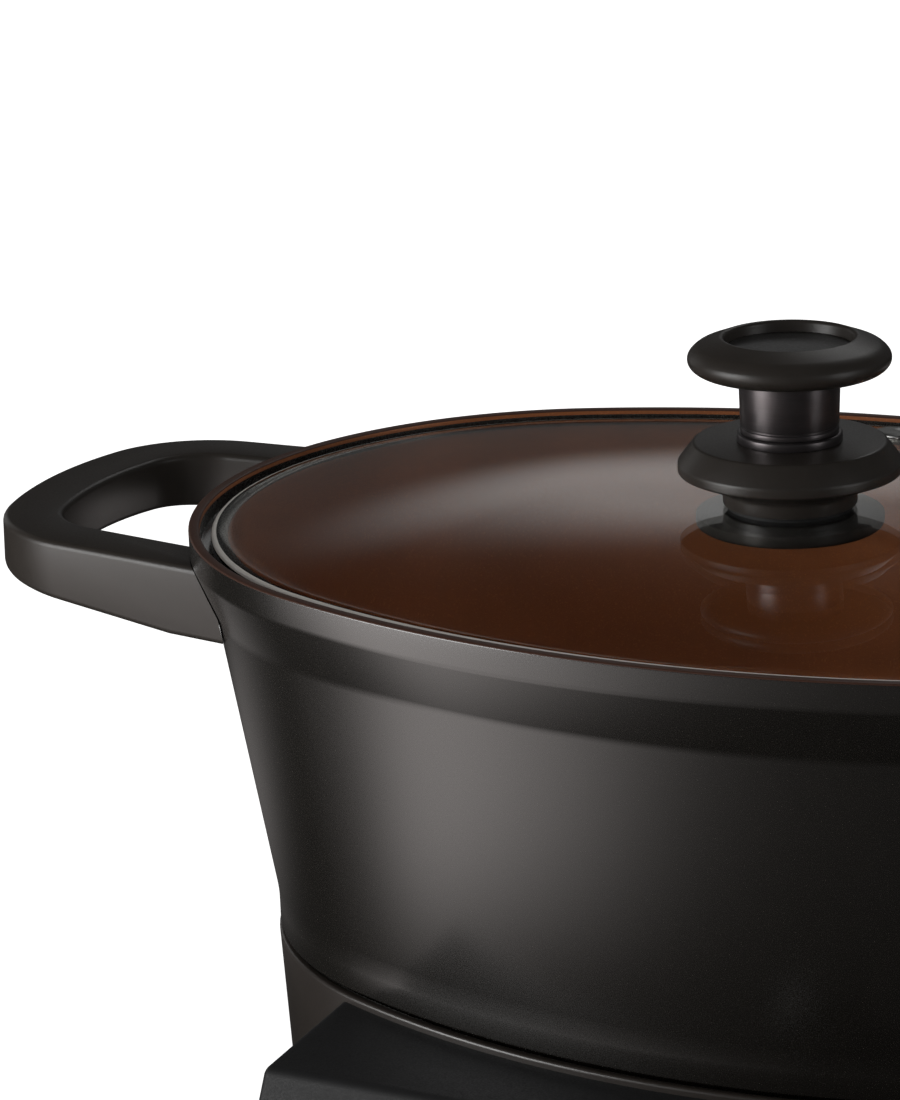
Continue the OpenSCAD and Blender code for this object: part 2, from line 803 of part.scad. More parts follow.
module sensor_spring() {
    color("silver") about_pot() at_z(guide_top) difference() {
        cylinder(h = sensor_top - sensor_cap_t - guide_top, r = guide_r - spring_wire);
        at_z(-lap) cylinder(h = plate_t + 2 * lap, r = guide_r - 2 * spring_wire);
    }
}

module sensor_cap() {
    skirt = 1.2;
    stem_low = pan_z - sensor_tail;
    color([0.8, 0.8, 0.8]) about_pot() {
        difference() {
            at_z(guide_top + sensor_stroke)
                cylinder(h = sensor_top - guide_top - sensor_stroke, r = sensor_r);
            at_z(guide_top) cylinder(h = sensor_top - sensor_cap_t - guide_top, r = sensor_r - skirt);
        }
        at_z(stem_low) cylinder(h = sensor_top - stem_low - lap, r = sensor_stem_r);
    }
}

fuse_r = 2.2;
fuse_l = 12;

module thermal_fuse() {
    strap_t = 0.8;
    color([0.8, 0.75, 0.6]) about_pot() translate([-boss_x / 2, -boss_y, pan_z]) {
        translate([-fuse_l / 2, 0, -fuse_r - strap_t / 2]) rotate([0, 90, 0])
            cylinder(h = fuse_l, r = fuse_r);
        translate([-fuse_l / 4, -3 * fuse_r, -strap_t]) cube([fuse_l / 2, 6 * fuse_r, strap_t]);
    }
}

// Power electronics on the bottom cover
module power_board() {
    color("darkgreen") about_pot() translate([-power_w / 2, power_y - power_l / 2, power_z])
        cube([power_w, power_l, board_t]);
}

module transformer() {
    frame = [24, 20, 4];
    core = [18, 16, 12];
    color([0.3, 0.28, 0.2]) about_pot() translate([-frame.x, power_y - 8, power_top]) {
        cube(frame);
        translate([(frame.x - core.x) / 2, (frame.y - core.y) / 2, 0]) cube(core);
    }
}

module relay() {
    case = [20, 15, 12];
    color([0.15, 0.25, 0.5]) about_pot() translate([case.x / 2, power_y + 4, power_top]) cube(case);
}

module capacitors() {
    can_r = 5;
    can_h = 11;
    color([0.1, 0.1, 0.14]) about_pot()
        for (x = [14, 27])
            translate([x, power_y - 12, power_top]) cylinder(h = can_h, r = can_r);
}

module power_inlet() {
    inlet_proud = 1;
    face_y = inlet_y + inlet_proud;
    color([0.06, 0.06, 0.06]) about_pot() difference() {
        translate([-inlet_w / 2, face_y - inlet_l, inlet_z]) cube([inlet_w, inlet_l, inlet_h]);
        translate([-inlet_w / 2 + inlet_wall, face_y - socket_d, inlet_z + inlet_wall])
            cube([inlet_w - 2 * inlet_wall, 2 * socket_d, inlet_h - 2 * inlet_wall]);
        at_pins() translate([-seat_gap, -inlet_l, -seat_gap])
            cube([pin_w + 2 * seat_gap, 2 * inlet_l, pin_h + 2 * seat_gap]);
    }
}

pin_w = 2;
pin_h = 4;
pin_pitch = 7;
pin_tail = 5;

// Three blades in a row, in the middle of the socket
module at_pins() {
    for (i = [-1, 0, 1])
        translate([i * pin_pitch - pin_w / 2, inlet_y - socket_d, inlet_z + inlet_h / 2 - pin_h / 2])
            children();
}

module inlet_pins() {
    color("goldenrod") about_pot() at_pins() translate([0, -(inlet_l - socket_d) - pin_tail, 0])
        cube([pin_w, inlet_l - socket_d + pin_tail + socket_d / 2, pin_h]);
}

// Console: a housing on the front of the base, with a flat fascia in its sloping face
slope_wall = console_wall + fascia_t;
console_tuck = 30;
console_back = -(rim_w / 2 - collar_in - console_tuck);
floor_in = foot_h + console_wall;
roof_in = console_top - console_wall;
opening_w = fascia_w - 2 * fascia_ledge;
opening_h = fascia_h - 2 * fascia_ledge;

// Frame of the sloping face: x across, y up the slope, z outward
module at_slope() {
    translate([0, front_y + slope_run / 2, slope_z + slope_rise / 2]) rotate([slope_tilt, 0, 0]) children();
}

// A point in the middle plane of the sloping face's frame
function slope_point(v, w) = [
    0,
    front_y + slope_run / 2 + v * cos(slope_tilt) - w * sin(slope_tilt),
    slope_z + slope_rise / 2 + v * sin(slope_tilt) + w * cos(slope_tilt)
];

// Depth at which the inside of the sloping wall reaches a height
function slope_inside(z) = front_y + slope_wall * sin(slope_tilt)
    + (z - slope_z + slope_wall * cos(slope_tilt)) / tan(slope_tilt);

// Side view drawn out across the console, and rounded at its front corners from above
module console_block(points, w, front, r) {
    intersection() {
        translate([-w / 2, 0, 0]) rotate([90, 0, 90]) linear_extrude(w) polygon(points);
        linear_extrude(collar_z) {
            translate([-w / 2, front + r]) square([w, console_back - front - r]);
            translate([-w / 2 + r, front]) square([w - 2 * r, console_back - front]);
            for (side = [-1, 1])
                translate([side * (w / 2 - r), front + r]) circle(r);
        }
    }
}

// The solid inside of the base shell, grown by a gap
module base_core(gap) {
    core_in = foot_in + shell_wall;
    oval_ring() polygon([
        [gap - collar_in, collar_z], [gap - foot_in, foot_h], [-core_in, foot_h], [-core_in, collar_z]
    ]);
    oval_plate(foot_in, foot_h - lap, shell_h + 2 * lap);
}

module slope_box(w, h, bottom, t) {
    translate([-w / 2, -h / 2, bottom]) cube([w, h, t]);
}

console_boss_r = 4.5;
console_rib_t = 3;

module console_housing() {
    color([0.08, 0.08, 0.08]) about_pot() difference() {
        union() {
            difference() {
                console_block([
                    [front_y, foot_h], [front_y, slope_z], [front_y + slope_run, console_top],
                    [console_back, console_top], [console_back, foot_h]
                ], console_w, front_y, console_corner_r);
                console_block([
                    [slope_inside(floor_in), floor_in], [slope_inside(roof_in), roof_in],
                    [console_back, roof_in], [console_back, floor_in]
                ], console_w - 2 * console_wall, front_y + console_wall, console_corner_r - console_wall);
            }
            at_console_screws() {
                at_z(-console_screw_l) cylinder(h = 2 * console_screw_l, r = console_boss_r);
                translate([-console_rib_t / 2, floor_in - console_screw_z - lap, -console_screw_l])
                    cube([console_rib_t, console_screw_z - floor_in, 2 * console_screw_l]);
            }
        }
        base_core(seat_gap);
        at_slope() {
            slope_box(fascia_w + 2 * seat_gap, fascia_h + 2 * seat_gap, -fascia_t, 2 * fascia_t);
            slope_box(opening_w, opening_h, -2 * slope_wall, 3 * slope_wall);
        }
        at_console_screws() at_z(-console_screw_l)
            cylinder(h = 2 * console_screw_l + lap, r = small_screw_r + run_gap, $fn = 48);
        at_console_feet() cylinder(h = floor_in + lap, r = foot_peg_r + seat_gap);
    }
}

module console_screws() {
    wall_curve = 1.4;
    seat = shell_wall + wall_curve;
    color("silver") about_pot() at_console_screws() at_z(-seat)
        screw(small_screw_r, seat + console_screw_l - screw_room, small_screw_r);
}

// Fascia with its window, dial bush and buttons
window_u = -6;
window_t = 1.2;
window_ledge = 2;
button_u = -43;
bush_r = 4.5;
shaft_r = 3;
board_edge = 4;
board_w = opening_w - 2 * board_edge;
board_h = opening_h - board_edge / 2;
board_post_x = board_w / 2 - board_edge / 2;
board_post_y = board_h / 2 - 1.2 * post_r;
board_screw_r = 1.2;
board_screw_l = 6;

module fascia() {
    color([0.05, 0.05, 0.05]) about_pot() at_slope() difference() {
        union() {
            slope_box(fascia_w, fascia_h, -fascia_t, fascia_t);
            four(board_post_x, board_post_y) at_z(-board_depth)
                cylinder(h = board_depth - fascia_t / 2, r = post_r);
        }
        four(board_post_x, board_post_y) at_z(-board_depth - lap)
            cylinder(h = board_screw_l + 2 * lap, r = board_screw_r + run_gap, $fn = 48);
        translate([window_u, 0, 0]) {
            slope_box(window_w + 2 * seat_gap, window_h + 2 * seat_gap, -window_t, 2 * window_t);
            slope_box(
                window_w - 2 * window_ledge, window_h - 2 * window_ledge, -2 * fascia_t, 3 * fascia_t
            );
        }
        translate([dial_u, 0, -2 * fascia_t]) cylinder(h = 3 * fascia_t, r = bush_r + seat_gap);
        at_buttons() at_z(-2 * fascia_t) cylinder(h = 3 * fascia_t, r = button_r + loose_gap);
    }
}

module at_buttons() {
    translate([button_u, 0, 0]) four(button_pitch / 2, button_pitch / 2) children();
}

module display_window() {
    color([0.1, 0.1, 0.12, 0.8]) about_pot() at_slope() translate([window_u, 0, 0])
        slope_box(window_w, window_h, -window_t, window_t);
}

module display_module() {
    color([0.2, 0.2, 0.2]) about_pot() at_slope() translate([window_u, 0, 0])
        slope_box(window_w - 2, window_h - 2, -board_depth, board_depth - fascia_t - loose_gap);
}

module control_board() {
    color("darkgreen") about_pot() at_slope() difference() {
        slope_box(board_w, board_h, -board_depth - board_t, board_t);
        four(board_post_x, board_post_y) at_z(-board_depth - 2 * board_t)
            cylinder(h = 3 * board_t, r = board_screw_r + seat_gap, $fn = 48);
    }
}

module board_screws() {
    color("silver") about_pot() at_slope() four(board_post_x, board_post_y) at_z(-board_depth - board_t)
        screw(board_screw_r, board_t + board_screw_l, board_screw_r);
}

// Buttons: a cap through the fascia, a flange behind it and a stem towards the key switch
button_proud = 1.6;
button_flange = 1;
button_flange_t = 1.4;
button_stem_r = 2;
button_stem_l = 1.3;
flange_top = -fascia_t - loose_gap;
stem_end = flange_top - button_flange_t - button_stem_l;
plunger_top = stem_end - button_stroke - loose_gap;
plunger_h = 1.5;
plunger_r = 1.7;
switch_w = 6;

module button(sx, sy) {
    color([0.3, 0.3, 0.3]) about_pot() at_slope()
        translate([button_u + sx * button_pitch / 2, sy * button_pitch / 2, 0]) {
            at_z(flange_top - button_flange_t) cylinder(h = button_flange_t, r = button_r + button_flange);
            at_z(flange_top - button_flange_t)
                cylinder(h = button_proud - flange_top + button_flange_t, r = button_r);
            at_z(stem_end) cylinder(h = button_stem_l + button_flange_t, r = button_stem_r);
        }
}

module button_upper_left() {
    button(-1, 1);
}

module button_lower_left() {
    button(-1, -1);
}

module button_upper_right() {
    button(1, 1);
}

module button_lower_right() {
    button(1, -1);
}

module key_switches() {
    color("silver") about_pot() at_slope() at_buttons() {
        slope_box(switch_w, switch_w, -board_depth, board_depth + plunger_top - plunger_h);
        at_z(plunger_top - plunger_h - lap) cylinder(h = plunger_h + lap, r = plunger_r);
    }
}

// Endless rotary encoder behind the dial
encoder_w = 13;
encoder_h = 7;
bush_top = 2;
bush_room = 1.2;
shaft_floor = 2.5;
dial_roof = 3.5;
shaft_low = -board_depth + shaft_floor;
shaft_top = dial_top - dial_roof;

module encoder() {
    color("silver") about_pot() at_slope() translate([dial_u, 0, 0]) difference() {
        union() {
            slope_box(encoder_w, encoder_w, -board_depth, encoder_h);
            at_z(-board_depth) cylinder(h = board_depth + bush_top, r = bush_r);
        }
        at_z(shaft_low - loose_gap) cylinder(h = board_depth + dial_h, r = shaft_r + run_gap);
    }
}

module encoder_shaft() {
    color("silver") about_pot() at_slope() translate([dial_u, 0, shaft_low])
        cylinder(h = shaft_top - shaft_low, r = shaft_r);
}

mark_w = 1.6;
mark_l = 9;
mark_t = 0.7;
mark_edge = 3;

// Frame of the dial's mark, which points up the slope at rest
module at_mark() {
    translate([dial_u, dial_r - mark_l / 2 - mark_edge, dial_top]) children();
}

module control_dial() {
    color([0.12, 0.12, 0.12]) about_pot() at_slope() difference() {
        translate([dial_u, 0, dial_gap]) difference() {
            rotate_extrude() polygon([
                [0, 0], [dial_r, 0], [dial_r, dial_h - 2 * dial_bevel],
                [dial_r - dial_bevel, dial_h], [0, dial_h]
            ]);
            at_z(-lap) cylinder(h = lap + bush_top - dial_gap + bush_room, r = bush_r + 3 * loose_gap);
            at_z(-lap) cylinder(h = lap + shaft_top - dial_gap + seat_gap, r = shaft_r + run_gap);
        }
        at_mark() slope_box(mark_w + 2 * seat_gap, mark_l + 2 * seat_gap, -mark_t, 2 * mark_t);
    }
}

module dial_mark() {
    color("white") about_pot() at_slope() at_mark() slope_box(mark_w, mark_l, -mark_t, mark_t + seat_gap);
}

// Wiring: a loom from the power board to the control board, and short leads to the board
module rod(from, to, r) {
    along = to - from;
    translate(from) rotate([-atan2(along.y, along.z), 0, 0]) cylinder(h = norm(along), r = r, $fn = 48);
}

lead_r = 1.3;
loom_start = 8;
loom_run = 42;
lead_edge = 3;
loom_y = power_y - power_l / 2 + loom_start;
loom_bend = console_back - loom_run;

module wiring_loom() {
    loom = [
        [0, loom_y, loom_z], [0, loom_bend, loom_z],
        slope_point(-board_h / 6, -board_depth - board_t - loom_r - seat_gap)
    ];
    tail_y = inlet_y - inlet_l - pin_tail;
    tail_z = inlet_z + inlet_h / 2;
    turn_y = power_y + power_l / 2 - lead_edge;
    color([0.5, 0.1, 0.1]) about_pot() {
        for (i = [0, 1])
            rod(loom[i], loom[i + 1], loom_r);
        for (p = loom)
            translate(p) sphere(loom_r, $fn = 48);
        at_terminals() at_z(-tube_z + power_top)
            cylinder(h = tube_z - terminal_drop - power_top, r = lead_r, $fn = 48);
        for (i = [-1, 0, 1])
            translate([i * pin_pitch, 0, 0]) {
                rod([0, tail_y, tail_z], [0, turn_y, tail_z], lead_r);
                translate([0, turn_y, tail_z]) sphere(lead_r, $fn = 48);
                rod([0, turn_y, power_top], [0, turn_y, tail_z], lead_r);
            }
    }
}

lid_glass();
vent_eyelet();
upper_gasket();
lower_gasket();
knob_washer();
knob_screw();
heat_guard();
neck_ring();
knob_neck();
knob_cap();
knob_insert();
knob_inlay();
pot_shell();
left_handle();
right_handle();
handle_studs();
base_shell();
bottom_cover();
cover_screws();
feet();
steel_pan();
pan_screws();
heating_plate();
plate_screws();
heating_tube();
sensor_guide();
sensor_spring();
sensor_cap();
thermal_fuse();
power_board();
transformer();
relay();
capacitors();
power_inlet();
inlet_pins();
wiring_loom();
console_housing();
console_screws();
fascia();
display_window();
display_module();
control_board();
board_screws();
key_switches();
encoder();
encoder_shaft();
control_dial();
dial_mark();
button_upper_left();
button_lower_left();
button_upper_right();
button_lower_right();
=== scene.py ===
import math

import bmesh
import bpy
from mathutils import Matrix, Vector


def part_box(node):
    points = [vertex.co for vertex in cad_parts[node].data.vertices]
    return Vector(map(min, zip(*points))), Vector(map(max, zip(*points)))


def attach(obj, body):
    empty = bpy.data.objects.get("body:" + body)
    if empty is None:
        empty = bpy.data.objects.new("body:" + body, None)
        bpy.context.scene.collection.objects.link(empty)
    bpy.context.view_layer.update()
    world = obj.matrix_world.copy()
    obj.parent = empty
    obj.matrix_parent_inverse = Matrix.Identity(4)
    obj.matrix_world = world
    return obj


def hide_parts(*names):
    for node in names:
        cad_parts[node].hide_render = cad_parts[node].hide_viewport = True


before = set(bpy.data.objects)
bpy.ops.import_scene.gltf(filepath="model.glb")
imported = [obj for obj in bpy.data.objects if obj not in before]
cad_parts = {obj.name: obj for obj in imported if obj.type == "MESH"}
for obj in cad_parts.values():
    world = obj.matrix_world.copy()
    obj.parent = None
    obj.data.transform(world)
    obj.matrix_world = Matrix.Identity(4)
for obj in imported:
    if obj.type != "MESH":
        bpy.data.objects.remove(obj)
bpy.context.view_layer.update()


# Feet: six moulded rubber pads, each pressed by its peg into the floor of the base or the console.
# Matte black rubber with faint paler clouds, and a rounded edge that meets the worktop.
mm = 0.001
# Points closer than a hair count as one, and a seam closer than a weld is merged.
hair = 0.001 * mm
weld = 0.005 * mm


def select(piece, kind, test):
    """Selects what passes a test on its place, in a piece that is open in edit mode."""
    bpy.ops.mesh.select_mode(type=kind)
    bpy.ops.mesh.select_all(action="DESELECT")
    shape = bmesh.from_edit_mesh(piece.data)
    for part in {"VERT": shape.verts, "EDGE": shape.edges, "FACE": shape.faces}[kind]:
        part.select_set(bool(test(part)))
    shape.select_flush_mode()
    bmesh.update_edit_mesh(piece.data)


def draw_outline(name, points, y=0.0, rounds=(), closed=False):
    """Draws a section in the XZ plane: a vertex extruded from point to point, in millimetres.

    rounds lists (corner, reach, segments) for the corners that are rounded off."""
    bpy.ops.object.select_all(action="DESELECT")
    bpy.ops.mesh.primitive_plane_add(size=mm)
    piece = bpy.context.object
    piece.name = name
    corners = [Vector((x * mm, y, z * mm)) for x, z in points]
    bpy.ops.object.mode_set(mode="EDIT")
    bpy.ops.mesh.select_mode(type="VERT")
    bpy.ops.mesh.select_all(action="SELECT")
    bpy.ops.mesh.merge(type="CENTER")
    bpy.ops.transform.translate(value=corners[0])
    for here, there in zip(corners, corners[1:]):
        bpy.ops.mesh.extrude_vertices_move(TRANSFORM_OT_translate={"value": there - here})
    if closed:
        select(piece, "VERT", lambda v: min((v.co - corners[0]).length, (v.co - corners[-1]).length) < hair)
        bpy.ops.mesh.edge_face_add()
    for corner, reach, segments in rounds:
        select(piece, "VERT", lambda v: (v.co - corners[corner]).length < hair)
        bpy.ops.mesh.bevel(affect="VERTICES", offset=reach * mm, segments=segments)
    bpy.ops.mesh.select_mode(type="VERT")
    bpy.ops.mesh.select_all(action="SELECT")
    return piece


def turn(centre, steps):
    """Spins the outline in hand right round an upright axis."""
    bpy.ops.mesh.spin(steps=steps, angle=2 * math.pi, center=centre, axis=(0, 0, 1))


def close_up(angle):
    """Merges the seams of the piece in hand, turns its faces out and shades it smooth up to an angle."""
    bpy.ops.mesh.select_mode(type="VERT")
    bpy.ops.mesh.select_all(action="SELECT")
    bpy.ops.mesh.remove_doubles(threshold=weld)
    bpy.ops.mesh.normals_make_consistent(inside=False)
    bpy.ops.object.mode_set(mode="OBJECT")
    bpy.ops.object.shade_smooth_by_angle(angle=math.radians(angle))


def linear(code):
    """An sRGB hex colour as linear red, green, blue and alpha."""
    shares = [int(code[i : i + 2], 16) / 255 for i in (1, 3, 5)]
    return [s / 12.92 if s <= 0.04045 else ((s + 0.055) / 1.055) ** 2.4 for s in shares] + [1.0]


def add(material, kind, settings, links=()):
    """Adds a node with its settings, and links given as (input, source output)."""
    node = material.node_tree.nodes.new(kind)
    for name, value in settings.items():
        if isinstance(name, int) or name in node.inputs:
            node.inputs[name].default_value = value
        else:
            setattr(node, name, value)
    for name, source in links:
        material.node_tree.links.new(source, node.inputs[name])
    return node


def new_material(name, settings):
    """A material with one Principled shader, set to these values."""
    material = bpy.data.materials.new(name)
    material.use_nodes = True
    surface = material.node_tree.nodes["Principled BSDF"]
    for socket, value in settings.items():
        surface.inputs[socket].default_value = value
    return material, surface


def grain(material, surface, size_mm, depth_mm, low, high, colours=None):
    """Moulded or cast grain of a real size: it moves the roughness, dents the surface and tints it."""
    place = add(material, "ShaderNodeTexCoord", {}).outputs["Object"]
    noise = add(
        material,
        "ShaderNodeTexNoise",
        {"Scale": 1 / (size_mm * mm), "Detail": 3.0, "Roughness": 0.55},
        [("Vector", place)],
    ).outputs["Fac"]
    rough = add(
        material,
        "ShaderNodeMapRange",
        {"From Min": 0.3, "From Max": 0.7, "To Min": low, "To Max": high},
        [("Value", noise)],
    )
    dents = add(
        material, "ShaderNodeBump", {"Strength": 0.35, "Distance": depth_mm * mm}, [("Height", noise)]
    )
    wire = material.node_tree.links.new
    wire(rough.outputs["Result"], surface.inputs["Roughness"])
    wire(dents.outputs["Normal"], surface.inputs["Normal"])
    if colours:
        broad = add(
            material,
            "ShaderNodeTexNoise",
            {"Scale": 1 / (14 * size_mm * mm), "Detail": 4.0, "Roughness": 0.6},
            [("Vector", place)],
        ).outputs["Fac"]
        tint = add(
            material,
            "ShaderNodeMix",
            {"data_type": "RGBA", 6: linear(colours[0]), 7: linear(colours[1])},
            [("Factor", broad)],
        )
        wire(tint.outputs[2], surface.inputs["Base Color"])
    return place


rubber, surface = new_material("black rubber", {"Specular IOR Level": 0.3})
grain(rubber, surface, 0.5, 0.05, 0.72, 0.9, ("#17171a", "#222224"))


def settle(piece, place):
    """Moves the piece in hand to its place, which is then kept in its mesh."""
    piece.matrix_world = place
    bpy.ops.object.transform_apply(location=True, rotation=True, scale=True)


def set_copy(piece, name, place):
    """Copies a finished piece, with a mesh of its own, and sets the copy in its place."""
    twin = piece.copy()
    twin.data = piece.data.copy()
    twin.name = name
    bpy.context.scene.collection.objects.link(twin)
    bpy.ops.object.select_all(action="DESELECT")
    bpy.context.view_layer.objects.active = twin
    twin.select_set(True)
    settle(twin, place)
    return twin


def join_up(pieces, name):
    """Joins pieces of one kind into one object."""
    bpy.ops.object.select_all(action="DESELECT")
    for piece in pieces:
        piece.select_set(True)
    bpy.context.view_layer.objects.active = pieces[0]
    bpy.ops.object.join()
    pieces[0].name = name
    return pieces[0]


pot_low, pot_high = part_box("pot_shell")
pot_y = (pot_low.y + pot_high.y) / 2
# Four stand under the base and two under the console, measured from the pot's middle.
base_x, base_y = 87.225 * mm, 58.425 * mm
console_x, console_y = 63.333 * mm, 131.7 * mm
foot_places = [(sx * base_x, pot_y + sy * base_y) for sx in (-1, 1) for sy in (-1, 1)]
foot_places += [(sx * console_x, pot_y - console_y) for sx in (-1, 1)]
foot = draw_outline(
    "foot",
    [(0, 0.8), (6.4, 0.8), (7, 0), (10, 0), (10, 6), (0, 6)],
    0.0,
    [(3, 1.2, 4), (4, 0.5, 2), (2, 0.3, 2)],
)
turn((0, 0, 0), 48)
close_up(40)
copies = [set_copy(foot, "foot", Matrix.Translation((x, y, 0))) for x, y in foot_places]
feet = join_up(copies, "rubber_feet")
bpy.data.objects.remove(foot)
feet.data.materials.append(rubber)
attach(feet, "base")
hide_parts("feet")


# Bottom cover, power inlet and the display's carrier: injection-moulded black ABS with a fine spark grain.
# The cover closes the base from below on four screws, and the inlet stands in a notch of the shell.
# The grain takes the shine off, so the plastic looks dry and nearly black.
def dress(material, *names):
    """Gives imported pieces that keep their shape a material."""
    for name in names:
        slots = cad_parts[name].data.materials
        slots.clear()
        slots.append(material)


black_abs, surface = new_material("black ABS with spark grain", {"Specular IOR Level": 0.4})
grain(black_abs, surface, 0.45, 0.03, 0.5, 0.66, ("#141415", "#1b1b1c"))
dress(black_abs, "bottom_cover", "power_inlet", "display_module")


# Screws, studs, washer, spring, key switches and encoder: turned, wound or stamped, in zinc-plated steel.
# The screws hold the cover, pan, plate, boards, console and knob, and the studs hold the handles.
# The plating is pale grey, with a soft and slightly cloudy shine.
zinc, surface = new_material("zinc-plated steel", {"Metallic": 1.0})
grain(zinc, surface, 0.6, 0.01, 0.26, 0.42, ("#a9aaab", "#c2c3c4"))
dress(
    zinc,
    "cover_screws",
    "pan_screws",
    "plate_screws",
    "console_screws",
    "board_screws",
    "knob_screw",
    "knob_washer",
    "handle_studs",
    "sensor_spring",
    "key_switches",
    "encoder",
    "encoder_shaft",
)


# Electronics: glass-epoxy boards with a wound transformer, a relay and two cans, and the wires between them.
# They stand on the cover and behind the console; small ceramic and brass pieces are pressed or turned.
# Solder mask is a glossy green film, a little mottled by the glass cloth below it.
solder_mask, surface = new_material("green solder mask", {"Specular IOR Level": 0.5})
grain(solder_mask, surface, 0.8, 0.02, 0.28, 0.42, ("#0b3d22", "#114a2b"))
dress(solder_mask, "power_board", "control_board")

# The varnish runs thick and thin over the wire, from amber to brown.
varnish, surface = new_material("varnished copper winding", {"Specular IOR Level": 0.5})
grain(varnish, surface, 0.7, 0.08, 0.3, 0.5, ("#5e3a12", "#7c5220"))
dress(varnish, "transformer")

# The relay's case is moulded, a clean blue with a low gloss.
relay_case, surface = new_material("blue polyester relay case", {"Specular IOR Level": 0.5})
grain(relay_case, surface, 0.4, 0.02, 0.38, 0.5, ("#16356e", "#1c3f7f"))
dress(relay_case, "relay")

# The sleeve is shrunk tight on its can, dark and fairly glossy.
can_sleeve, surface = new_material("shrunk can sleeve", {"Specular IOR Level": 0.5})
grain(can_sleeve, surface, 0.6, 0.02, 0.25, 0.36, ("#15161f", "#1d1e2a"))
dress(can_sleeve, "capacitors")

# Silicone sleeves are a dull red and look soft.
wire_sleeve, surface = new_material("silicone wire sleeve", {"Specular IOR Level": 0.35})
grain(wire_sleeve, surface, 0.8, 0.05, 0.5, 0.66, ("#7d1512", "#8f1d18"))
dress(wire_sleeve, "wiring_loom")

# Steatite is fired without a glaze, so it is chalky and nearly white.
steatite, surface = new_material("unglazed steatite", {"Specular IOR Level": 0.4})
grain(steatite, surface, 0.5, 0.05, 0.6, 0.8, ("#d9d4c6", "#e4e0d5"))
dress(steatite, "sensor_guide", "thermal_fuse")

# Turned brass is bright yellow, with a slight cloudiness from handling.
brass, surface = new_material("turned brass", {"Metallic": 1.0})
grain(brass, surface, 0.5, 0.01, 0.22, 0.36, ("#b58b3c", "#c69c4c"))
dress(brass, "inlet_pins", "knob_insert")


# Heating plate, its sensor cap and the tube below: a cast aluminium plate, faced on a lathe.
# The lathe leaves fine rings about the middle; the tube is steel that the heat has darkened.
faced, surface = new_material("lathe-faced cast aluminium", {"Metallic": 1.0})
place = add(faced, "ShaderNodeTexCoord", {}).outputs["Object"]
about_middle = add(faced, "ShaderNodeMapping", {"Location": (0, -pot_y, 0)}, [("Vector", place)])
# Rings 1.2 mm apart: the real ones are finer, and drawn as coarse as they need to show.
# At a scale of one, the wave repeats every 0.314.
ring_scale = 0.314 / (1.2 * mm)
rings = add(
    faced,
    "ShaderNodeTexWave",
    {"wave_type": "RINGS", "rings_direction": "Z", "Scale": ring_scale, "Distortion": 0.4},
    [("Vector", about_middle.outputs["Vector"])],
).outputs["Fac"]
tarnish = add(faced, "ShaderNodeTexNoise", {"Scale": 1 / (18 * mm), "Detail": 5.0}, [("Vector", place)])
shade = add(
    faced,
    "ShaderNodeMix",
    {"data_type": "RGBA", 6: linear("#9b9b9a"), 7: linear("#b9b9b7")},
    [("Factor", tarnish.outputs["Fac"])],
)
rough = add(faced, "ShaderNodeMapRange", {"To Min": 0.3, "To Max": 0.44}, [("Value", rings)])
cuts = add(faced, "ShaderNodeBump", {"Strength": 0.4, "Distance": 0.02 * mm}, [("Height", rings)])
faced.node_tree.links.new(shade.outputs[2], surface.inputs["Base Color"])
faced.node_tree.links.new(rough.outputs["Result"], surface.inputs["Roughness"])
faced.node_tree.links.new(cuts.outputs["Normal"], surface.inputs["Normal"])
dress(faced, "heating_plate", "sensor_cap")

dark_tube, surface = new_material("heat-darkened steel", {"Metallic": 0.8})
grain(dark_tube, surface, 0.7, 0.02, 0.4, 0.6, ("#3a3532", "#4a433e"))
dress(dark_tube, "heating_tube")


# Steel pan: a drawn stainless sheet between the heating plate and the wiring, which shields the base.
# Drawing and brushing leave streaks along its length.
drawn_steel, surface = new_material("brushed stainless sheet", {"Metallic": 1.0})
place = add(drawn_steel, "ShaderNodeTexCoord", {}).outputs["Object"]
along = add(drawn_steel, "ShaderNodeMapping", {"Scale": (0.04, 1, 1)}, [("Vector", place)])
streaks = add(
    drawn_steel,
    "ShaderNodeTexNoise",
    {"Scale": 1 / (0.5 * mm), "Detail": 3.0},
    [("Vector", along.outputs["Vector"])],
).outputs["Fac"]
shade = add(
    drawn_steel,
    "ShaderNodeMix",
    {"data_type": "RGBA", 6: linear("#a2a2a0"), 7: linear("#bdbdbb")},
    [("Factor", streaks)],
)
rough = add(drawn_steel, "ShaderNodeMapRange", {"To Min": 0.24, "To Max": 0.42}, [("Value", streaks)])
drawn_steel.node_tree.links.new(shade.outputs[2], surface.inputs["Base Color"])
drawn_steel.node_tree.links.new(rough.outputs["Result"], surface.inputs["Roughness"])
dress(drawn_steel, "steel_pan")


# Base shell: a moulded oval ring, sprayed in a dark satin lacquer, with a soft edge at its collar.
# It carries the pan inside and the console in front, and is open at the back for the inlet.
# The rim's oval is four arcs: two ends about points on the long axis, and two flatter sides.
end_c, end_r, side_c = 57.5, 102.5, 138.0
half_end = math.atan2(side_c, end_c)
half_side = math.pi / 2 - half_end


def sweep_oval(end_steps=26, side_steps=40):
    """Spins the outline in hand round the rim's oval, from the right-hand tip and back to it."""
    ends = [(sx * end_c * mm, pot_y, 0) for sx in (1, -1)]
    sides = [(0, pot_y - sy * side_c * mm, 0) for sy in (1, -1)]
    for centre, angle, steps in (
        (ends[0], half_end, end_steps),
        (sides[0], 2 * half_side, side_steps),
        (ends[1], 2 * half_end, 2 * end_steps),
        (sides[1], 2 * half_side, side_steps),
        (ends[0], half_end, end_steps),
    ):
        bpy.ops.mesh.spin(steps=steps, angle=-angle, center=centre, axis=(0, 0, 1))


def inset(*points):
    """Section points given as (inset from the rim, height) at the rim's right-hand tip."""
    return [(end_c + end_r - step, z) for step, z in points]


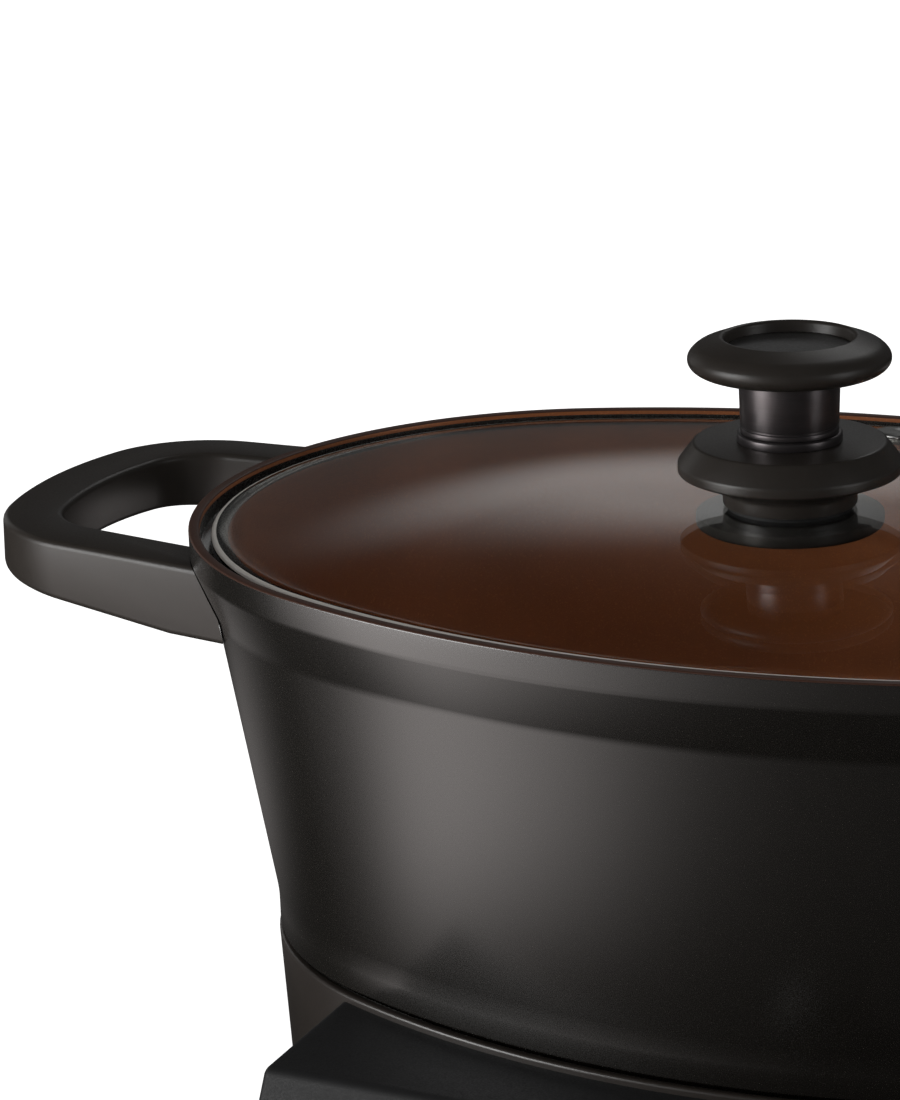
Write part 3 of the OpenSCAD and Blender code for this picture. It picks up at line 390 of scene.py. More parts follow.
def cut_away(piece, tool, operation="DIFFERENCE"):
    """Applies a boolean with a tool that is then thrown away."""
    bpy.ops.object.select_all(action="DESELECT")
    bpy.context.view_layer.objects.active = piece
    piece.select_set(True)
    step = piece.modifiers.new("cut", "BOOLEAN")
    step.operation = operation
    step.object = tool
    bpy.ops.object.modifier_apply(modifier=step.name)
    bpy.data.objects.remove(tool)


base_shell = draw_outline(
    "base_shell_moulding",
    inset(
        (18.3, 62), (21.0, 6), (23.6, 6), (23.6, 8.5), (33.6, 8.5), (33.6, 11.1), (23.6, 11.1), (20.9, 62),
    ),
    pot_y,
    [(0, 0.9, 4), (1, 0.8, 3), (7, 0.6, 2)],
    closed=True,
)
sweep_oval()
close_up(35)
inlet_low, inlet_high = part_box("power_inlet")
bpy.ops.object.select_all(action="DESELECT")
bpy.ops.mesh.primitive_cube_add(size=1)
notch = bpy.context.object
notch_w, notch_run, notch_h = 28.6, 60, 19.6
at_inlet = Matrix.Translation((0, inlet_high.y, (inlet_low.z + inlet_high.z) / 2))
settle(notch, at_inlet @ Matrix.Diagonal((notch_w * mm, notch_run * mm, notch_h * mm, 1)))
cut_away(base_shell, notch)
bpy.ops.object.shade_smooth_by_angle(angle=math.radians(35))

# The lacquer lies even and thin: a soft sheen with hardly any texture, under a clear coat.
lacquer, surface = new_material(
    "dark satin lacquer", {"Specular IOR Level": 0.5, "Coat Weight": 0.6, "Coat Roughness": 0.3}
)
grain(lacquer, surface, 0.5, 0.008, 0.34, 0.44, ("#2a2521", "#312b27"))
base_shell.data.materials.append(lacquer)
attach(base_shell, "base")
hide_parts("base_shell")


# Console: one black ABS moulding on the front of the base, held by two screws from inside.
# Its face leans back, its front corners are round, and a shallow bed takes the fascia.
front_y = pot_y - 147.7 * mm
back_y = pot_y - 65.7 * mm
half_w, under_z, kick_h = 95, 6, 4
slope_run, slope_rise = 30, 50
slope_tilt = math.atan2(slope_rise, slope_run)
slope_middle = Vector((0, front_y + slope_run / 2 * mm, (under_z + kick_h + slope_rise / 2) * mm))
on_slope = Matrix.Translation(slope_middle) @ Matrix.Rotation(slope_tilt, 4, "X")

console = draw_outline("console_moulding", [(-half_w, under_z), (half_w, under_z)], front_y)
bpy.ops.mesh.extrude_region_move(TRANSFORM_OT_translate={"value": (0, back_y - front_y, 0)})
bpy.ops.mesh.select_all(action="SELECT")
bpy.ops.mesh.extrude_region_move(TRANSFORM_OT_translate={"value": (0, 0, kick_h * mm)})
bpy.ops.mesh.extrude_region_move(TRANSFORM_OT_translate={"value": (0, 0, slope_rise * mm)})
select(console, "VERT", lambda v: v.co.z > slope_middle.z and v.co.y < front_y + mm)
bpy.ops.transform.translate(value=(0, slope_run * mm, 0))
bpy.ops.mesh.select_all(action="SELECT")
bpy.ops.mesh.normals_make_consistent(inside=False)
bpy.ops.object.mode_set(mode="OBJECT")

# A tall block with the plan's round front corners trims the moulding; it stands past its back and its top.
corner_round, past_back, tall = 22 * mm, 20 * mm, 80 * mm
plan = draw_outline("console_plan", [(-half_w, 0), (half_w, 0)], front_y)
bpy.ops.mesh.extrude_region_move(TRANSFORM_OT_translate={"value": (0, back_y - front_y + past_back, 0)})
bpy.ops.mesh.select_all(action="SELECT")
bpy.ops.mesh.extrude_region_move(TRANSFORM_OT_translate={"value": (0, 0, tall)})


def upright_in_front(edge):
    """True of the upright edges in the console's front plane."""
    low_end, high_end = (vert.co for vert in edge.verts)
    return max(low_end.y, high_end.y) < front_y + mm and abs(low_end.x - high_end.x) < hair


select(plan, "EDGE", upright_in_front)
bpy.ops.mesh.bevel(affect="EDGES", offset=corner_round, segments=16)
bpy.ops.mesh.select_all(action="SELECT")
bpy.ops.mesh.normals_make_consistent(inside=False)
bpy.ops.object.mode_set(mode="OBJECT")
cut_away(console, plan, "INTERSECT")


def soften(piece, width, angle):
    """Rounds the edges of the piece in hand that turn by more than an angle."""
    step = piece.modifiers.new("soft edges", "BEVEL")
    step.width = width * mm
    step.segments = 4
    step.limit_method = "ANGLE"
    step.angle_limit = math.radians(angle)
    bpy.ops.object.modifier_apply(modifier=step.name)


soften(console, 2.2, 28)
bpy.ops.object.select_all(action="DESELECT")
bpy.ops.mesh.primitive_cube_add(size=1)
bed = bpy.context.object
bed_w, bed_h, bed_depth = 144.2, 46.2, 2
settle(bed, on_slope @ Matrix.Diagonal((bed_w * mm, bed_h * mm, 2 * bed_depth * mm, 1)))
cut_away(console, bed)

# A block with the slant of the base shell's side cuts the back to fit.
well = draw_outline("console_seat", inset((18.2, 70), (20.9, 5), (60, 5), (60, 70)), pot_y, closed=True)
sweep_oval()
close_up(35)
cut_away(console, well)
bpy.ops.object.shade_smooth_by_angle(angle=math.radians(32))
console.data.materials.append(black_abs)
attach(console, "base")
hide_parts("console_housing")


# Fascia and its window: a gloss acrylic plate, flush in the bed, with a smoked pane over the display.
# Acrylic shows a deep gloss with a little orange peel; the pane is a shade bluer, and dark when off.
acrylic, surface = new_material(
    "gloss black acrylic", {"Specular IOR Level": 0.5, "Coat Weight": 0.5, "Coat Roughness": 0.04}
)
grain(acrylic, surface, 9.0, 0.03, 0.12, 0.2, ("#0b0b0c", "#101011"))
dress(acrylic, "fascia")

smoked, surface = new_material(
    "smoked acrylic", {"Specular IOR Level": 0.5, "Coat Weight": 0.6, "Coat Roughness": 0.03}
)
grain(smoked, surface, 11.0, 0.02, 0.06, 0.12, ("#16181c", "#1b1e22"))
dress(smoked, "display_window")


# Dial scale: a pale silk-screen print on the fascia, a few hundredths of a millimetre thick.
# Short strokes stand round the dial, and every fifth one is longer. The ink dries matte and off-white.
print_ink, surface = new_material("pale screen-print ink", {"Specular IOR Level": 0.3})
grain(print_ink, surface, 0.4, 0.01, 0.5, 0.62, ("#b9b8b4", "#c6c5c1"))
bpy.ops.object.select_all(action="DESELECT")
bpy.ops.mesh.primitive_cube_add(size=1)
mark = bpy.context.object
bpy.ops.object.mode_set(mode="EDIT")
bpy.ops.mesh.select_all(action="SELECT")
bpy.ops.transform.resize(value=(0.5 * mm, 1.4 * mm, 0.06 * mm))
bpy.ops.object.mode_set(mode="OBJECT")
dial_x, scale_r, first_angle, pitch = 40 * mm, 20.4 * mm, 135, 27
on_dial = on_slope @ Matrix.Translation((dial_x, 0, 0.03 * mm))
strokes = []
for i in range(11):
    longer = Matrix.Diagonal((1, 1 if i % 5 else 1.6, 1, 1))
    lean = Matrix.Rotation(math.radians(first_angle - pitch * i), 4, "Z")
    strokes.append(set_copy(mark, "stroke", on_dial @ lean @ Matrix.Translation((0, scale_r, 0)) @ longer))
bpy.data.objects.remove(mark)
scale_print = join_up(strokes, "dial_scale_print")
scale_print.data.materials.append(print_ink)
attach(scale_print, "base")


# Control dial: a turned-looking moulding on the encoder's shaft, fluted round its rim for grip.
# Sprayed in the lacquer of the base, with an inlaid white pointer.
dial = draw_outline(
    "fluted_dial",
    [
        (0, 11.5), (3.1, 11.5), (3.1, 3.2), (5.4, 3.2), (5.4, 1),
        (17.2, 1), (17.2, 12), (16.5, 14.8), (12.5, 14.8), (11.5, 14.2), (0, 14.2),
    ],
    0.0,
    [(5, 0.6, 2), (7, 1.1, 4), (8, 0.6, 2), (9, 0.6, 2)],
)
turn((0, 0, 0), 120)
close_up(38)


def between_flutes(face):
    """True of every other step of three degrees round the dial's side."""
    middle = face.calc_center_median()
    bearing = math.degrees(math.atan2(middle.y, middle.x)) + 360
    on_side = abs(face.normal.z) < 0.2 and middle.xy.length > 16 * mm
    return on_side and int(bearing // 3) % 2 == 0


bpy.ops.object.mode_set(mode="EDIT")
select(dial, "FACE", between_flutes)
bpy.ops.mesh.extrude_region_shrink_fatten(TRANSFORM_OT_shrink_fatten={"value": 0.7 * mm})
bpy.ops.object.mode_set(mode="OBJECT")
settle(dial, on_slope @ Matrix.Translation((dial_x, 0, 0)))
dial.data.materials.append(lacquer)
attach(dial, "dial")
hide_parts("control_dial")

# The inlay is a second shot of white plastic, flat and clean, so the pointer shows from afar.
white_inlay, surface = new_material("white moulded inlay", {"Specular IOR Level": 0.4})
grain(white_inlay, surface, 0.4, 0.01, 0.4, 0.5, ("#d6d5d0", "#e0dfdb"))
dress(white_inlay, "dial_mark")


# Buttons: four moulded caps that pass through the fascia onto the key switches.
# Satin grey ABS, with a dished top that shows where the finger goes.
button_grey, surface = new_material("satin grey ABS", {"Specular IOR Level": 0.45})
grain(button_grey, surface, 0.4, 0.02, 0.36, 0.46, ("#4a4a4b", "#525253"))
button_cap = draw_outline(
    "button_cap",
    [
        (0, -5), (2, -5), (2, -3.7), (6.5, -3.7), (6.5, -2.3),
        (5.5, -2.3), (5.5, 1.6), (4.4, 1.6), (2.2, 1.15), (0, 1.0),
    ],
    0.0,
    [(6, 0.6, 4), (7, 0.5, 3), (8, 1.2, 4)],
)
turn((0, 0, 0), 48)
close_up(35)
button_cap.data.materials.append(button_grey)
keypad_x, half_pitch = -43, 9
for side, sx in (("left", -1), ("right", 1)):
    for row, sy in (("lower", -1), ("upper", 1)):
        across, up = keypad_x + half_pitch * sx, half_pitch * sy
        place = on_slope @ Matrix.Translation((across * mm, up * mm, 0))
        button = set_copy(button_cap, f"{row}_{side}_button_cap", place)
        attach(button, f"{row}_{side}_button")
        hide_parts(f"button_{row}_{side}")
bpy.data.objects.remove(button_cap)


# Pot: one aluminium casting with a lip, a ledge for the lid, an undercut band and a tapering wall.
# Dark satin enamel outside; inside and over the lip a copper-brown non-stick coat with fine flecks.
floor_top, floor_under = 50, 46


def fill_ends(piece, *levels):
    """Merges the seams of a swept shell and closes the openings at these heights."""
    bpy.ops.mesh.select_all(action="SELECT")
    bpy.ops.mesh.remove_doubles(threshold=weld)
    for level in levels:
        select(piece, "EDGE", lambda e: e.is_boundary and abs(e.verts[0].co.z - level * mm) < hair)
        bpy.ops.mesh.edge_face_add()


pot = draw_outline(
    "cast_pot",
    inset(
        (40, floor_top), (34.4, floor_top), (28.4, 56), (28.4, 66.7), (21.9, 73.2), (21.9, 74),
        (10.9, 142), (10.9, 169), (2.9, 169), (2.9, 172.6), (2.9, 174), (0, 174), (0, 167), (5.8, 153),
        (18.7, 73), (18.7, 63.5), (25.2, 63.5), (25.2, 52), (31.2, floor_under), (40, floor_under),
    ),
    pot_y,
    [
        (1, 2.6, 3), (2, 3.5, 4), (3, 2, 3), (4, 0.3, 2), (6, 6, 4), (7, 0.6, 2), (8, 0.5, 2), (10, 0.7, 4),
        (11, 0.55, 5), (12, 0.7, 3), (13, 1.2, 4), (14, 3, 5), (15, 0.8, 3), (16, 0.8, 2), (17, 2, 3),
        (18, 2, 3),
    ],
)
sweep_oval(34, 52)
fill_ends(pot, floor_top, floor_under)
close_up(30)

# Enamel fires smooth: nearly black, with a satin shine that spreads each light down the wall.
enamel, surface = new_material(
    "dark satin enamel", {"Specular IOR Level": 0.75, "Coat Weight": 1.0, "Coat Roughness": 0.22}
)
grain(enamel, surface, 0.5, 0.001, 0.25, 0.3, ("#14110e", "#1a1713"))
# The coat is sprayed over a blasted wall, so it is satin, a little metallic and warm.
coat, surface = new_material("copper-brown non-stick coat", {"Metallic": 0.35, "Specular IOR Level": 0.5})
place = grain(coat, surface, 0.7, 0.02, 0.3, 0.44)
# Flecks 0.4 mm across: copper mica in the coat, drawn a little coarse so that they show.
cells = add(coat, "ShaderNodeTexVoronoi", {"Scale": 1 / (0.8 * mm), "Randomness": 1.0}, [("Vector", place)])
flecks = add(
    coat,
    "ShaderNodeMapRange",
    {"From Min": 0.12, "From Max": 0.28, "To Min": 1.0, "To Max": 0.0},
    [("Value", cells.outputs["Distance"])],
)
broad = add(coat, "ShaderNodeTexNoise", {"Scale": 1 / (30 * mm), "Detail": 3.0}, [("Vector", place)])
brown = add(
    coat,
    "ShaderNodeMix",
    {"data_type": "RGBA", 6: linear("#845030"), 7: linear("#a26038")},
    [("Factor", broad.outputs["Fac"])],
)
fleck_share = add(
    coat, "ShaderNodeMath", {"operation": "MULTIPLY", 1: 0.55}, [(0, flecks.outputs["Result"])]
)
mica = add(
    coat,
    "ShaderNodeMix",
    {"data_type": "RGBA", 7: linear("#c07a48")},
    [("Factor", fleck_share.outputs["Value"]), (6, brown.outputs[2])],
)
coat.node_tree.links.new(mica.outputs[2], surface.inputs["Base Color"])
pot.data.materials.append(enamel)
pot.data.materials.append(coat)
# On the lip's upward faces the coat is a darker, duller brown.
lip_brown, surface = new_material("darker brown on the lip", {"Specular IOR Level": 0.4})
grain(lip_brown, surface, 0.6, 0.01, 0.4, 0.5, ("#3b241a", "#4a2e22"))
pot.data.materials.append(lip_brown)
# In the groove round the lid the dark enamel takes the coat's place: painted shade in the deep, narrow
# groove.
mid_floor = (floor_top + floor_under) / 2 * mm
groove_foot, groove_head, lip_from = 168.6 * mm, 172.5 * mm, 173.2 * mm
for face in pot.data.polygons:
    outwards = Vector((face.center.x, face.center.y - pot_y))
    inward = face.normal.xy.dot(outwards) < 0
    inside = face.center.z > mid_floor and (face.normal.z > 0.5 or (inward and face.normal.z > -0.3))
    in_shaded_groove = groove_foot < face.center.z < groove_head
    on_lip = face.center.z > lip_from and face.normal.z > 0.3
    face.material_index = 2 if on_lip else 1 if inside and not in_shaded_groove else 0
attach(pot, "pot")
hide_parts("pot_shell")


# Handles: two compression-moulded phenolic loops, each drawn up to the pot by two studs.
# Satin brown-black, with softened edges; the bar thins towards the tip and rises a little.
# Phenolic takes a fine dry grain from its mould, which spreads each highlight.
phenolic, surface = new_material("satin phenolic moulding", {"Specular IOR Level": 0.5})
grain(phenolic, surface, 0.45, 0.015, 0.34, 0.44, ("#2a2622", "#322d29"))
tip, bar_w, bar_t = 211.5, 16.4, 19.6
# Half the loop: a wide bow from the tip, a tight corner, and a straight arm into the pot.
bow_r, corner_r, arm_run = 100, 27, 62
bow_turn, corner_turn = math.radians(15), math.radians(69)
bow_x = tip - bow_r
corner_x = bow_x + (bow_r - corner_r) * math.cos(bow_turn)
corner_y = (bow_r - corner_r) * math.sin(bow_turn)
handle = draw_outline(
    "right_handle_moulding",
    [(tip - bar_w / 2, 0), (tip + bar_w / 2, 0), (tip + bar_w / 2, -bar_t), (tip - bar_w / 2, -bar_t)],
    closed=True,
)
bpy.ops.mesh.spin(steps=8, angle=-bow_turn, center=(bow_x * mm, 0, 0), axis=(0, 0, 1))
bpy.ops.mesh.spin(steps=22, angle=-corner_turn, center=(corner_x * mm, corner_y * mm, 0), axis=(0, 0, 1))
arm = Vector((-math.sin(bow_turn + corner_turn), math.cos(bow_turn + corner_turn), 0))
bpy.ops.mesh.extrude_region_move(TRANSFORM_OT_translate={"value": arm * arm_run * mm})
bpy.ops.object.mode_set(mode="OBJECT")
twin = handle.modifiers.new("front arm", "MIRROR")
twin.use_axis = (False, True, False)
twin.merge_threshold = 0.01 * mm
bpy.ops.object.modifier_apply(modifier=twin.name)
bpy.ops.object.mode_set(mode="EDIT")
bpy.ops.mesh.select_all(action="SELECT")
bpy.ops.mesh.remove_doubles(threshold=weld)
bpy.ops.mesh.normals_make_consistent(inside=False)
taper, taper_from = math.radians(5.2), 150 * mm
bpy.ops.mesh.bisect(
    plane_co=(taper_from, 0, -bar_t * mm),
    plane_no=(math.sin(taper), 0, -math.cos(taper)),
    use_fill=True,
    clear_outer=True,
)
bpy.ops.mesh.select_all(action="SELECT")
bpy.ops.mesh.normals_make_consistent(inside=False)
bpy.ops.object.mode_set(mode="OBJECT")
soften(handle, 1.8, 50)
root, top_z, lean = (end_c + end_r) * mm, 166.5 * mm, math.radians(1.8)
rise = Matrix.Rotation(-lean, 4, "Y") @ Matrix.Translation((-root, 0, 0))
settle(handle, Matrix.Translation((root, pot_y, top_z)) @ rise)
# The pot's outside, 0.35 mm proud, cuts the ends off and leaves the dark seam that shows at each root.
core = draw_outline(
    "pot_core",
    inset((-0.35, 175), (-0.35, 166.9), (5.4, 152.9), (8.65, 133), (60, 133), (60, 175)),
    pot_y,
    closed=True,
)
sweep_oval()
close_up(30)
cut_away(handle, core)
bpy.ops.object.shade_smooth_by_angle(angle=math.radians(28))
handle.data.materials.append(phenolic)
left_handle = set_copy(handle, "left_handle_moulding", Matrix.Diagonal((-1, 1, 1, 1)))
bpy.ops.object.mode_set(mode="EDIT")
bpy.ops.mesh.select_all(action="SELECT")
bpy.ops.mesh.normals_make_consistent(inside=False)
bpy.ops.object.mode_set(mode="OBJECT")
for piece, name in ((handle, "right_handle"), (left_handle, "left_handle")):
    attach(piece, "pot")
    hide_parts(name)


# Lid glass: one pressed and tempered pane, flat where it rests on the ledge and gently domed above.
# Clear soda-lime glass with a ground and polished edge, bored for the knob and the steam eyelet.
shoulder_in, shoulder_z = 9.9, 173
crown_run, crown_rise, glass_t = 92.0, 6.9, 4.0
dome = []
for step in range(19):
    reach = step / 18
    lift = crown_rise * (1 - (1 - reach) ** 2)
    dome.append((shoulder_in + crown_run * reach, shoulder_z + lift))
below = [(step, z - glass_t) for step, z in dome]
glass_pane = draw_outline(
    "domed_glass",
    inset(*reversed(below), (5.7, 169), (5.7, 172.2), (7.2, 172.49), *dome),
    pot_y,
    [(18, 2, 4), (19, 1.2, 4), (20, 1.1, 6)],
)
sweep_oval(34, 52)
crown_z = shoulder_z + crown_rise
fill_ends(glass_pane, crown_z, crown_z - glass_t)
close_up(60)
at_knob = Matrix.Translation((0, pot_y, 178 * mm))
at_vent = Matrix.Translation((0, pot_y + 92 * mm, 174.72 * mm))
at_vent = at_vent @ Matrix.Rotation(math.radians(-7.4), 4, "X")
for spot, radius in ((at_knob, 2.8), (at_vent, 3.9)):
    bpy.ops.object.select_all(action="DESELECT")
    bpy.ops.mesh.primitive_cylinder_add(vertices=48, radius=radius * mm, depth=24 * mm)
    drill = bpy.context.object
    settle(drill, spot)
    cut_away(glass_pane, drill)
bpy.ops.object.shade_smooth_by_angle(angle=math.radians(60))

# The pane is clear with a faint warm tint and a mirror gloss. Lamp light goes straight through it.
clear_glass, surface = new_material(
    "tempered soda-lime glass",
    {"Base Color": linear("#f6f5f1"), "Roughness": 0.0, "IOR": 1.5, "Transmission Weight": 1.0},
)
rays = add(clear_glass, "ShaderNodeLightPath", {})
through = add(clear_glass, "ShaderNodeBsdfTransparent", {"Color": linear("#f2f1ed")})
lamp_light = add(
    clear_glass,
    "ShaderNodeMixShader",
    {},
    [(0, rays.outputs["Is Shadow Ray"]), (1, surface.outputs["BSDF"]), (2, through.outputs["BSDF"])],
)
clear_glass.node_tree.links.new(
    lamp_light.outputs["Shader"], clear_glass.node_tree.nodes["Material Output"].inputs["Surface"]
)
# The ground edge is frosted, and its pale colour also paints the edge's highlight: it shows as a fine pale
# line round the pane.
ground, surface = new_material("ground glass edge with painted highlight", {"Specular IOR Level": 0.5, "Transmission Weight": 0.25})
grain(ground, surface, 0.3, 0.01, 0.35, 0.5, ("#c9c4bc", "#dcd8d2"))
glass_pane.data.materials.append(clear_glass)
glass_pane.data.materials.append(ground)
# The pale band, frosted edge and painted highlight at once, covers the outward faces between these heights.
ground_foot, ground_head = 171.8 * mm, 172.48 * mm
for face in glass_pane.data.polygons:
    outward = face.normal.xy.length > 0.1 and face.normal.z > 0
    face.material_index = 1 if outward and ground_foot < face.center.z < ground_head else 0
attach(glass_pane, "lid")
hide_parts("lid_glass")


# Steam eyelet: a stainless rivet with a low domed flange, set through the bore at the back of the glass.
# Its tail is rolled out under the pane; the turned face is softly bright.
eyelet = draw_outline(
    "steam_eyelet",
    [
        (2.2, -5.4), (5.5, -5.4), (5.5, -4.2), (3.6, -4.2), (3.6, 0.1), (9, 0.1), (9, 0.6), (7.4, 1.2),
        (3.4, 1.4), (2.2, 0.8),
    ],
    0.0,
    [(1, 0.4, 3), (2, 0.3, 2), (6, 0.25, 3), (7, 1.0, 4), (8, 0.5, 4)],
    closed=True,
)
turn((0, 0, 0), 72)
close_up(35)
settle(eyelet, at_vent)
turned_steel, surface = new_material("turned stainless steel", {"Metallic": 1.0})
grain(turned_steel, surface, 0.4, 0.01, 0.36, 0.5, ("#838381", "#979795"))
eyelet.data.materials.append(turned_steel)
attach(eyelet, "lid")
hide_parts("vent_eyelet")


# Gaskets: two black silicone pads that seal the knob's bore, the thick one below the glass.
# The screw draws them flat, and the lower one shows through the pane as a dark disc.
# Silicone is matte and a little dusty, so it hardly mirrors anything.
silicone, surface = new_material("black silicone", {"Specular IOR Level": 0.35})
grain(silicone, surface, 0.6, 0.03, 0.55, 0.7, ("#161617", "#1f1f20"))
dress(silicone, "upper_gasket")
pad = draw_outline(
    "silicone_pad",
    [(3, 172.5), (23.8, 172.5), (23.8, 175.4), (14, 175.7), (3, 175.8)],
    pot_y,
    [(1, 0.8, 4), (2, 0.3, 2)],
)
turn((0, pot_y, 0), 96)
select(pad, "EDGE", lambda e: e.is_boundary)
bpy.ops.mesh.bridge_edge_loops()
close_up(35)
pad.data.materials.append(silicone)
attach(pad, "lid")
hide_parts("lower_gasket")


# Knob: a phenolic heat guard on a pedestal, a dark turned metal neck with a trim ring, and a phenolic cap.
# One long screw through the glass draws them together; a smooth disc lies in the cap's round recess.
axis = (0, pot_y, 0)
guard = draw_outline(
    "heat_guard_moulding",
    [(3, 180.9), (17, 180.9), (17, 184.8), (28.3, 189.4), (28.3, 191.8), (24.3, 197), (3, 197)],
    pot_y,
    [(1, 0.4, 2), (2, 1.0, 3), (3, 0.35, 3), (4, 0.4, 4), (5, 0.5, 4)],
    closed=True,
)
turn(axis, 128)
close_up(35)
guard.data.materials.append(phenolic)
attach(guard, "lid")
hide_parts("heat_guard")

# Anodising leaves the metal dark grey, and the turning marks band it finely.
dark_metal, surface = new_material("dark anodised aluminium", {"Metallic": 0.85})
place = add(dark_metal, "ShaderNodeTexCoord", {}).outputs["Object"]
lathe = add(dark_metal, "ShaderNodeMapping", {"Scale": (0.05, 0.05, 1)}, [("Vector", place)])
# Turning marks 0.3 mm apart round the neck.
marks = add(
    dark_metal,
    "ShaderNodeTexNoise",
    {"Scale": 1 / (0.3 * mm), "Detail": 3.0},
    [("Vector", lathe.outputs["Vector"])],
).outputs["Fac"]
rough = add(dark_metal, "ShaderNodeMapRange", {"To Min": 0.26, "To Max": 0.4}, [("Value", marks)])
shade = add(
    dark_metal,
    "ShaderNodeMix",
    {"data_type": "RGBA", 6: linear("#545051"), 7: linear("#645f60")},
    [("Factor", marks)],
)
dark_metal.node_tree.links.new(shade.outputs[2], surface.inputs["Base Color"])
dark_metal.node_tree.links.new(rough.outputs["Result"], surface.inputs["Roughness"])

ring = draw_outline(
    "neck_trim_ring",
    [(3, 197), (13.3, 197), (13.3, 199.4), (3, 199.4)],
    pot_y,
    [(1, 0.3, 2), (2, 0.6, 4)],
    closed=True,
)
turn(axis, 96)
close_up(35)
ring.data.materials.append(dark_metal)
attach(ring, "lid")
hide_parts("neck_ring")

neck = draw_outline(
    "turned_neck",
    [
        (3, 199.4), (12.4, 199.4), (12.42, 200.8), (12.1, 201), (12.1, 201.4), (12.45, 201.6),
        (12.8, 214), (3, 214),
    ],
    pot_y,
    [(1, 0.35, 3), (2, 0.12, 2), (5, 0.12, 2), (6, 0.35, 3)],
    closed=True,
)
turn(axis, 96)
close_up(35)
neck.data.materials.append(dark_metal)
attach(neck, "lid")
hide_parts("knob_neck")

cap = draw_outline(
    "knob_cap_moulding",
    [
        (0, 214), (13, 214), (24.2, 215.3), (25.95, 218.3), (24.3, 221.4), (17, 224.1), (16.2, 223.4),
        (15.8, 220), (0, 220),
    ],
    pot_y,
    [(2, 1.9, 6), (3, 1.4, 6), (4, 2.2, 7), (5, 0.5, 4), (6, 0.4, 3), (7, 0.5, 3)],
)
turn(axis, 128)
close_up(35)
cap.data.materials.append(phenolic)
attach(cap, "lid")
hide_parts("knob_cap")

# The disc is smoother and darker than the cap, with a faint cloudiness.
smooth_disc, surface = new_material("polished phenolic disc", {"Specular IOR Level": 0.5})
grain(smooth_disc, surface, 0.8, 0.01, 0.3, 0.4, ("#14110f", "#1a1715"))
disc = draw_outline("recessed_disc", [(0, 220), (15.6, 220), (15.6, 221.3), (0, 221.3)], pot_y, [(2, 0.4, 4)])
turn(axis, 96)
close_up(35)
disc.data.materials.append(smooth_disc)
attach(disc, "lid")
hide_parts("knob_inlay")


# Stage: a pale plain floor that keeps the cooker's shadow, a white surround, and soft studio lamps.
# Straight views find both white. In reflections the floor is painted dark, with painted glowing patches
# on it, the widest front left, that paint the highlights; the surround is dim but for one soft glow behind.
def straight_view(material):
    """One for rays from the camera, also through glass, and none for rays that were reflected."""
    rays = add(material, "ShaderNodeLightPath", {}).outputs
    bounced = add(material, "ShaderNodeMath", {"operation": "LESS_THAN", 1: 0.5}, [(0, rays["Glossy Depth"])])
    through = add(
        material,
        "ShaderNodeMath",
        {"operation": "MULTIPLY"},
        [(0, rays["Is Transmission Ray"]), (1, bounced.outputs["Value"])],
    )
    seen = add(
        material,
        "ShaderNodeMath",
        {"operation": "MAXIMUM"},
        [(0, rays["Is Camera Ray"]), (1, through.outputs["Value"])],
    )
    return seen.outputs["Value"]


bpy.ops.object.select_all(action="DESELECT")
bpy.ops.mesh.primitive_plane_add(size=16, location=(0, 4, -0.0002))
floor = bpy.context.object
floor.name = "studio_floor"
bpy.ops.object.transform_apply(location=True, rotation=True, scale=True)
# The paper is matte and nearly white; it shines by itself just enough to look white beyond the shadow.
paper, surface = new_material("pale studio paper", {"Roughness": 0.9, "Specular IOR Level": 0.2})
rays = add(paper, "ShaderNodeLightPath", {}).outputs
place = add(paper, "ShaderNodeTexCoord", {}).outputs["Object"]
# In reflections the paper is painted dark grey: painted shade that keeps the pot's reflections dark.
paper_painted_dark_in_reflections = add(
    paper,
    "ShaderNodeMix",
    {"data_type": "RGBA", 6: linear("#e6e5e3"), 7: linear("#2c2b29")},
    [("Factor", rays["Is Glossy Ray"])],
)
paper.node_tree.links.new(paper_painted_dark_in_reflections.outputs[2], surface.inputs["Base Color"])
far = add(paper, "ShaderNodeVectorMath", {"operation": "LENGTH"}, [("Vector", place)])
white = add(
    paper,
    "ShaderNodeMapRange",
    {"From Min": 0.3, "From Max": 1.1, "To Min": 0.8, "To Max": 1.0},
    [("Value", far.outputs["Value"])],
)
lit = add(
    paper,
    "ShaderNodeMath",
    {"operation": "MULTIPLY"},
    [(0, white.outputs["Result"]), (1, straight_view(paper))],
)
# The wide painted patch lies front left: a painted glow, seen only in reflections, that paints the wall's
# highlight.
# It is drawn by the bearing about the pot's front, in degrees from +X, with the share of its brightness
# there, and it fades out towards the pot.
about = add(paper, "ShaderNodeVectorMath", {"operation": "SUBTRACT", 1: (-0.013, -0.038, 0)}, [(0, place)])
course = add(
    paper, "ShaderNodeTexGradient", {"gradient_type": "RADIAL"}, [("Vector", about.outputs["Vector"])]
)
fan = add(paper, "ShaderNodeValToRGB", {}, [("Fac", course.outputs["Fac"])])
stops = fan.color_ramp.elements
stops[0].color = (0, 0, 0, 1)
stops[1].color = (0, 0, 0, 1)
for degrees, share in (
    (195, 0.0), (200, 0.13), (209, 0.67), (214, 0.77), (225, 0.72),
    (240, 0.48), (253, 0.22), (265, 0.08), (280, 0.03), (330, 0.0),
):
    stops.new((degrees - 180) / 360).color = (share, share, share, 1)
middle = add(paper, "ShaderNodeVectorMath", {"operation": "DISTANCE", 1: (0, pot_y, 0)}, [(0, place)])
clear_of_pot = add(
    paper,
    "ShaderNodeMapRange",
    {"interpolation_type": "SMOOTHSTEP", "From Min": 0.19, "From Max": 0.28, "To Min": 0.0, "To Max": 1.8},
    [("Value", middle.outputs["Value"])],
)
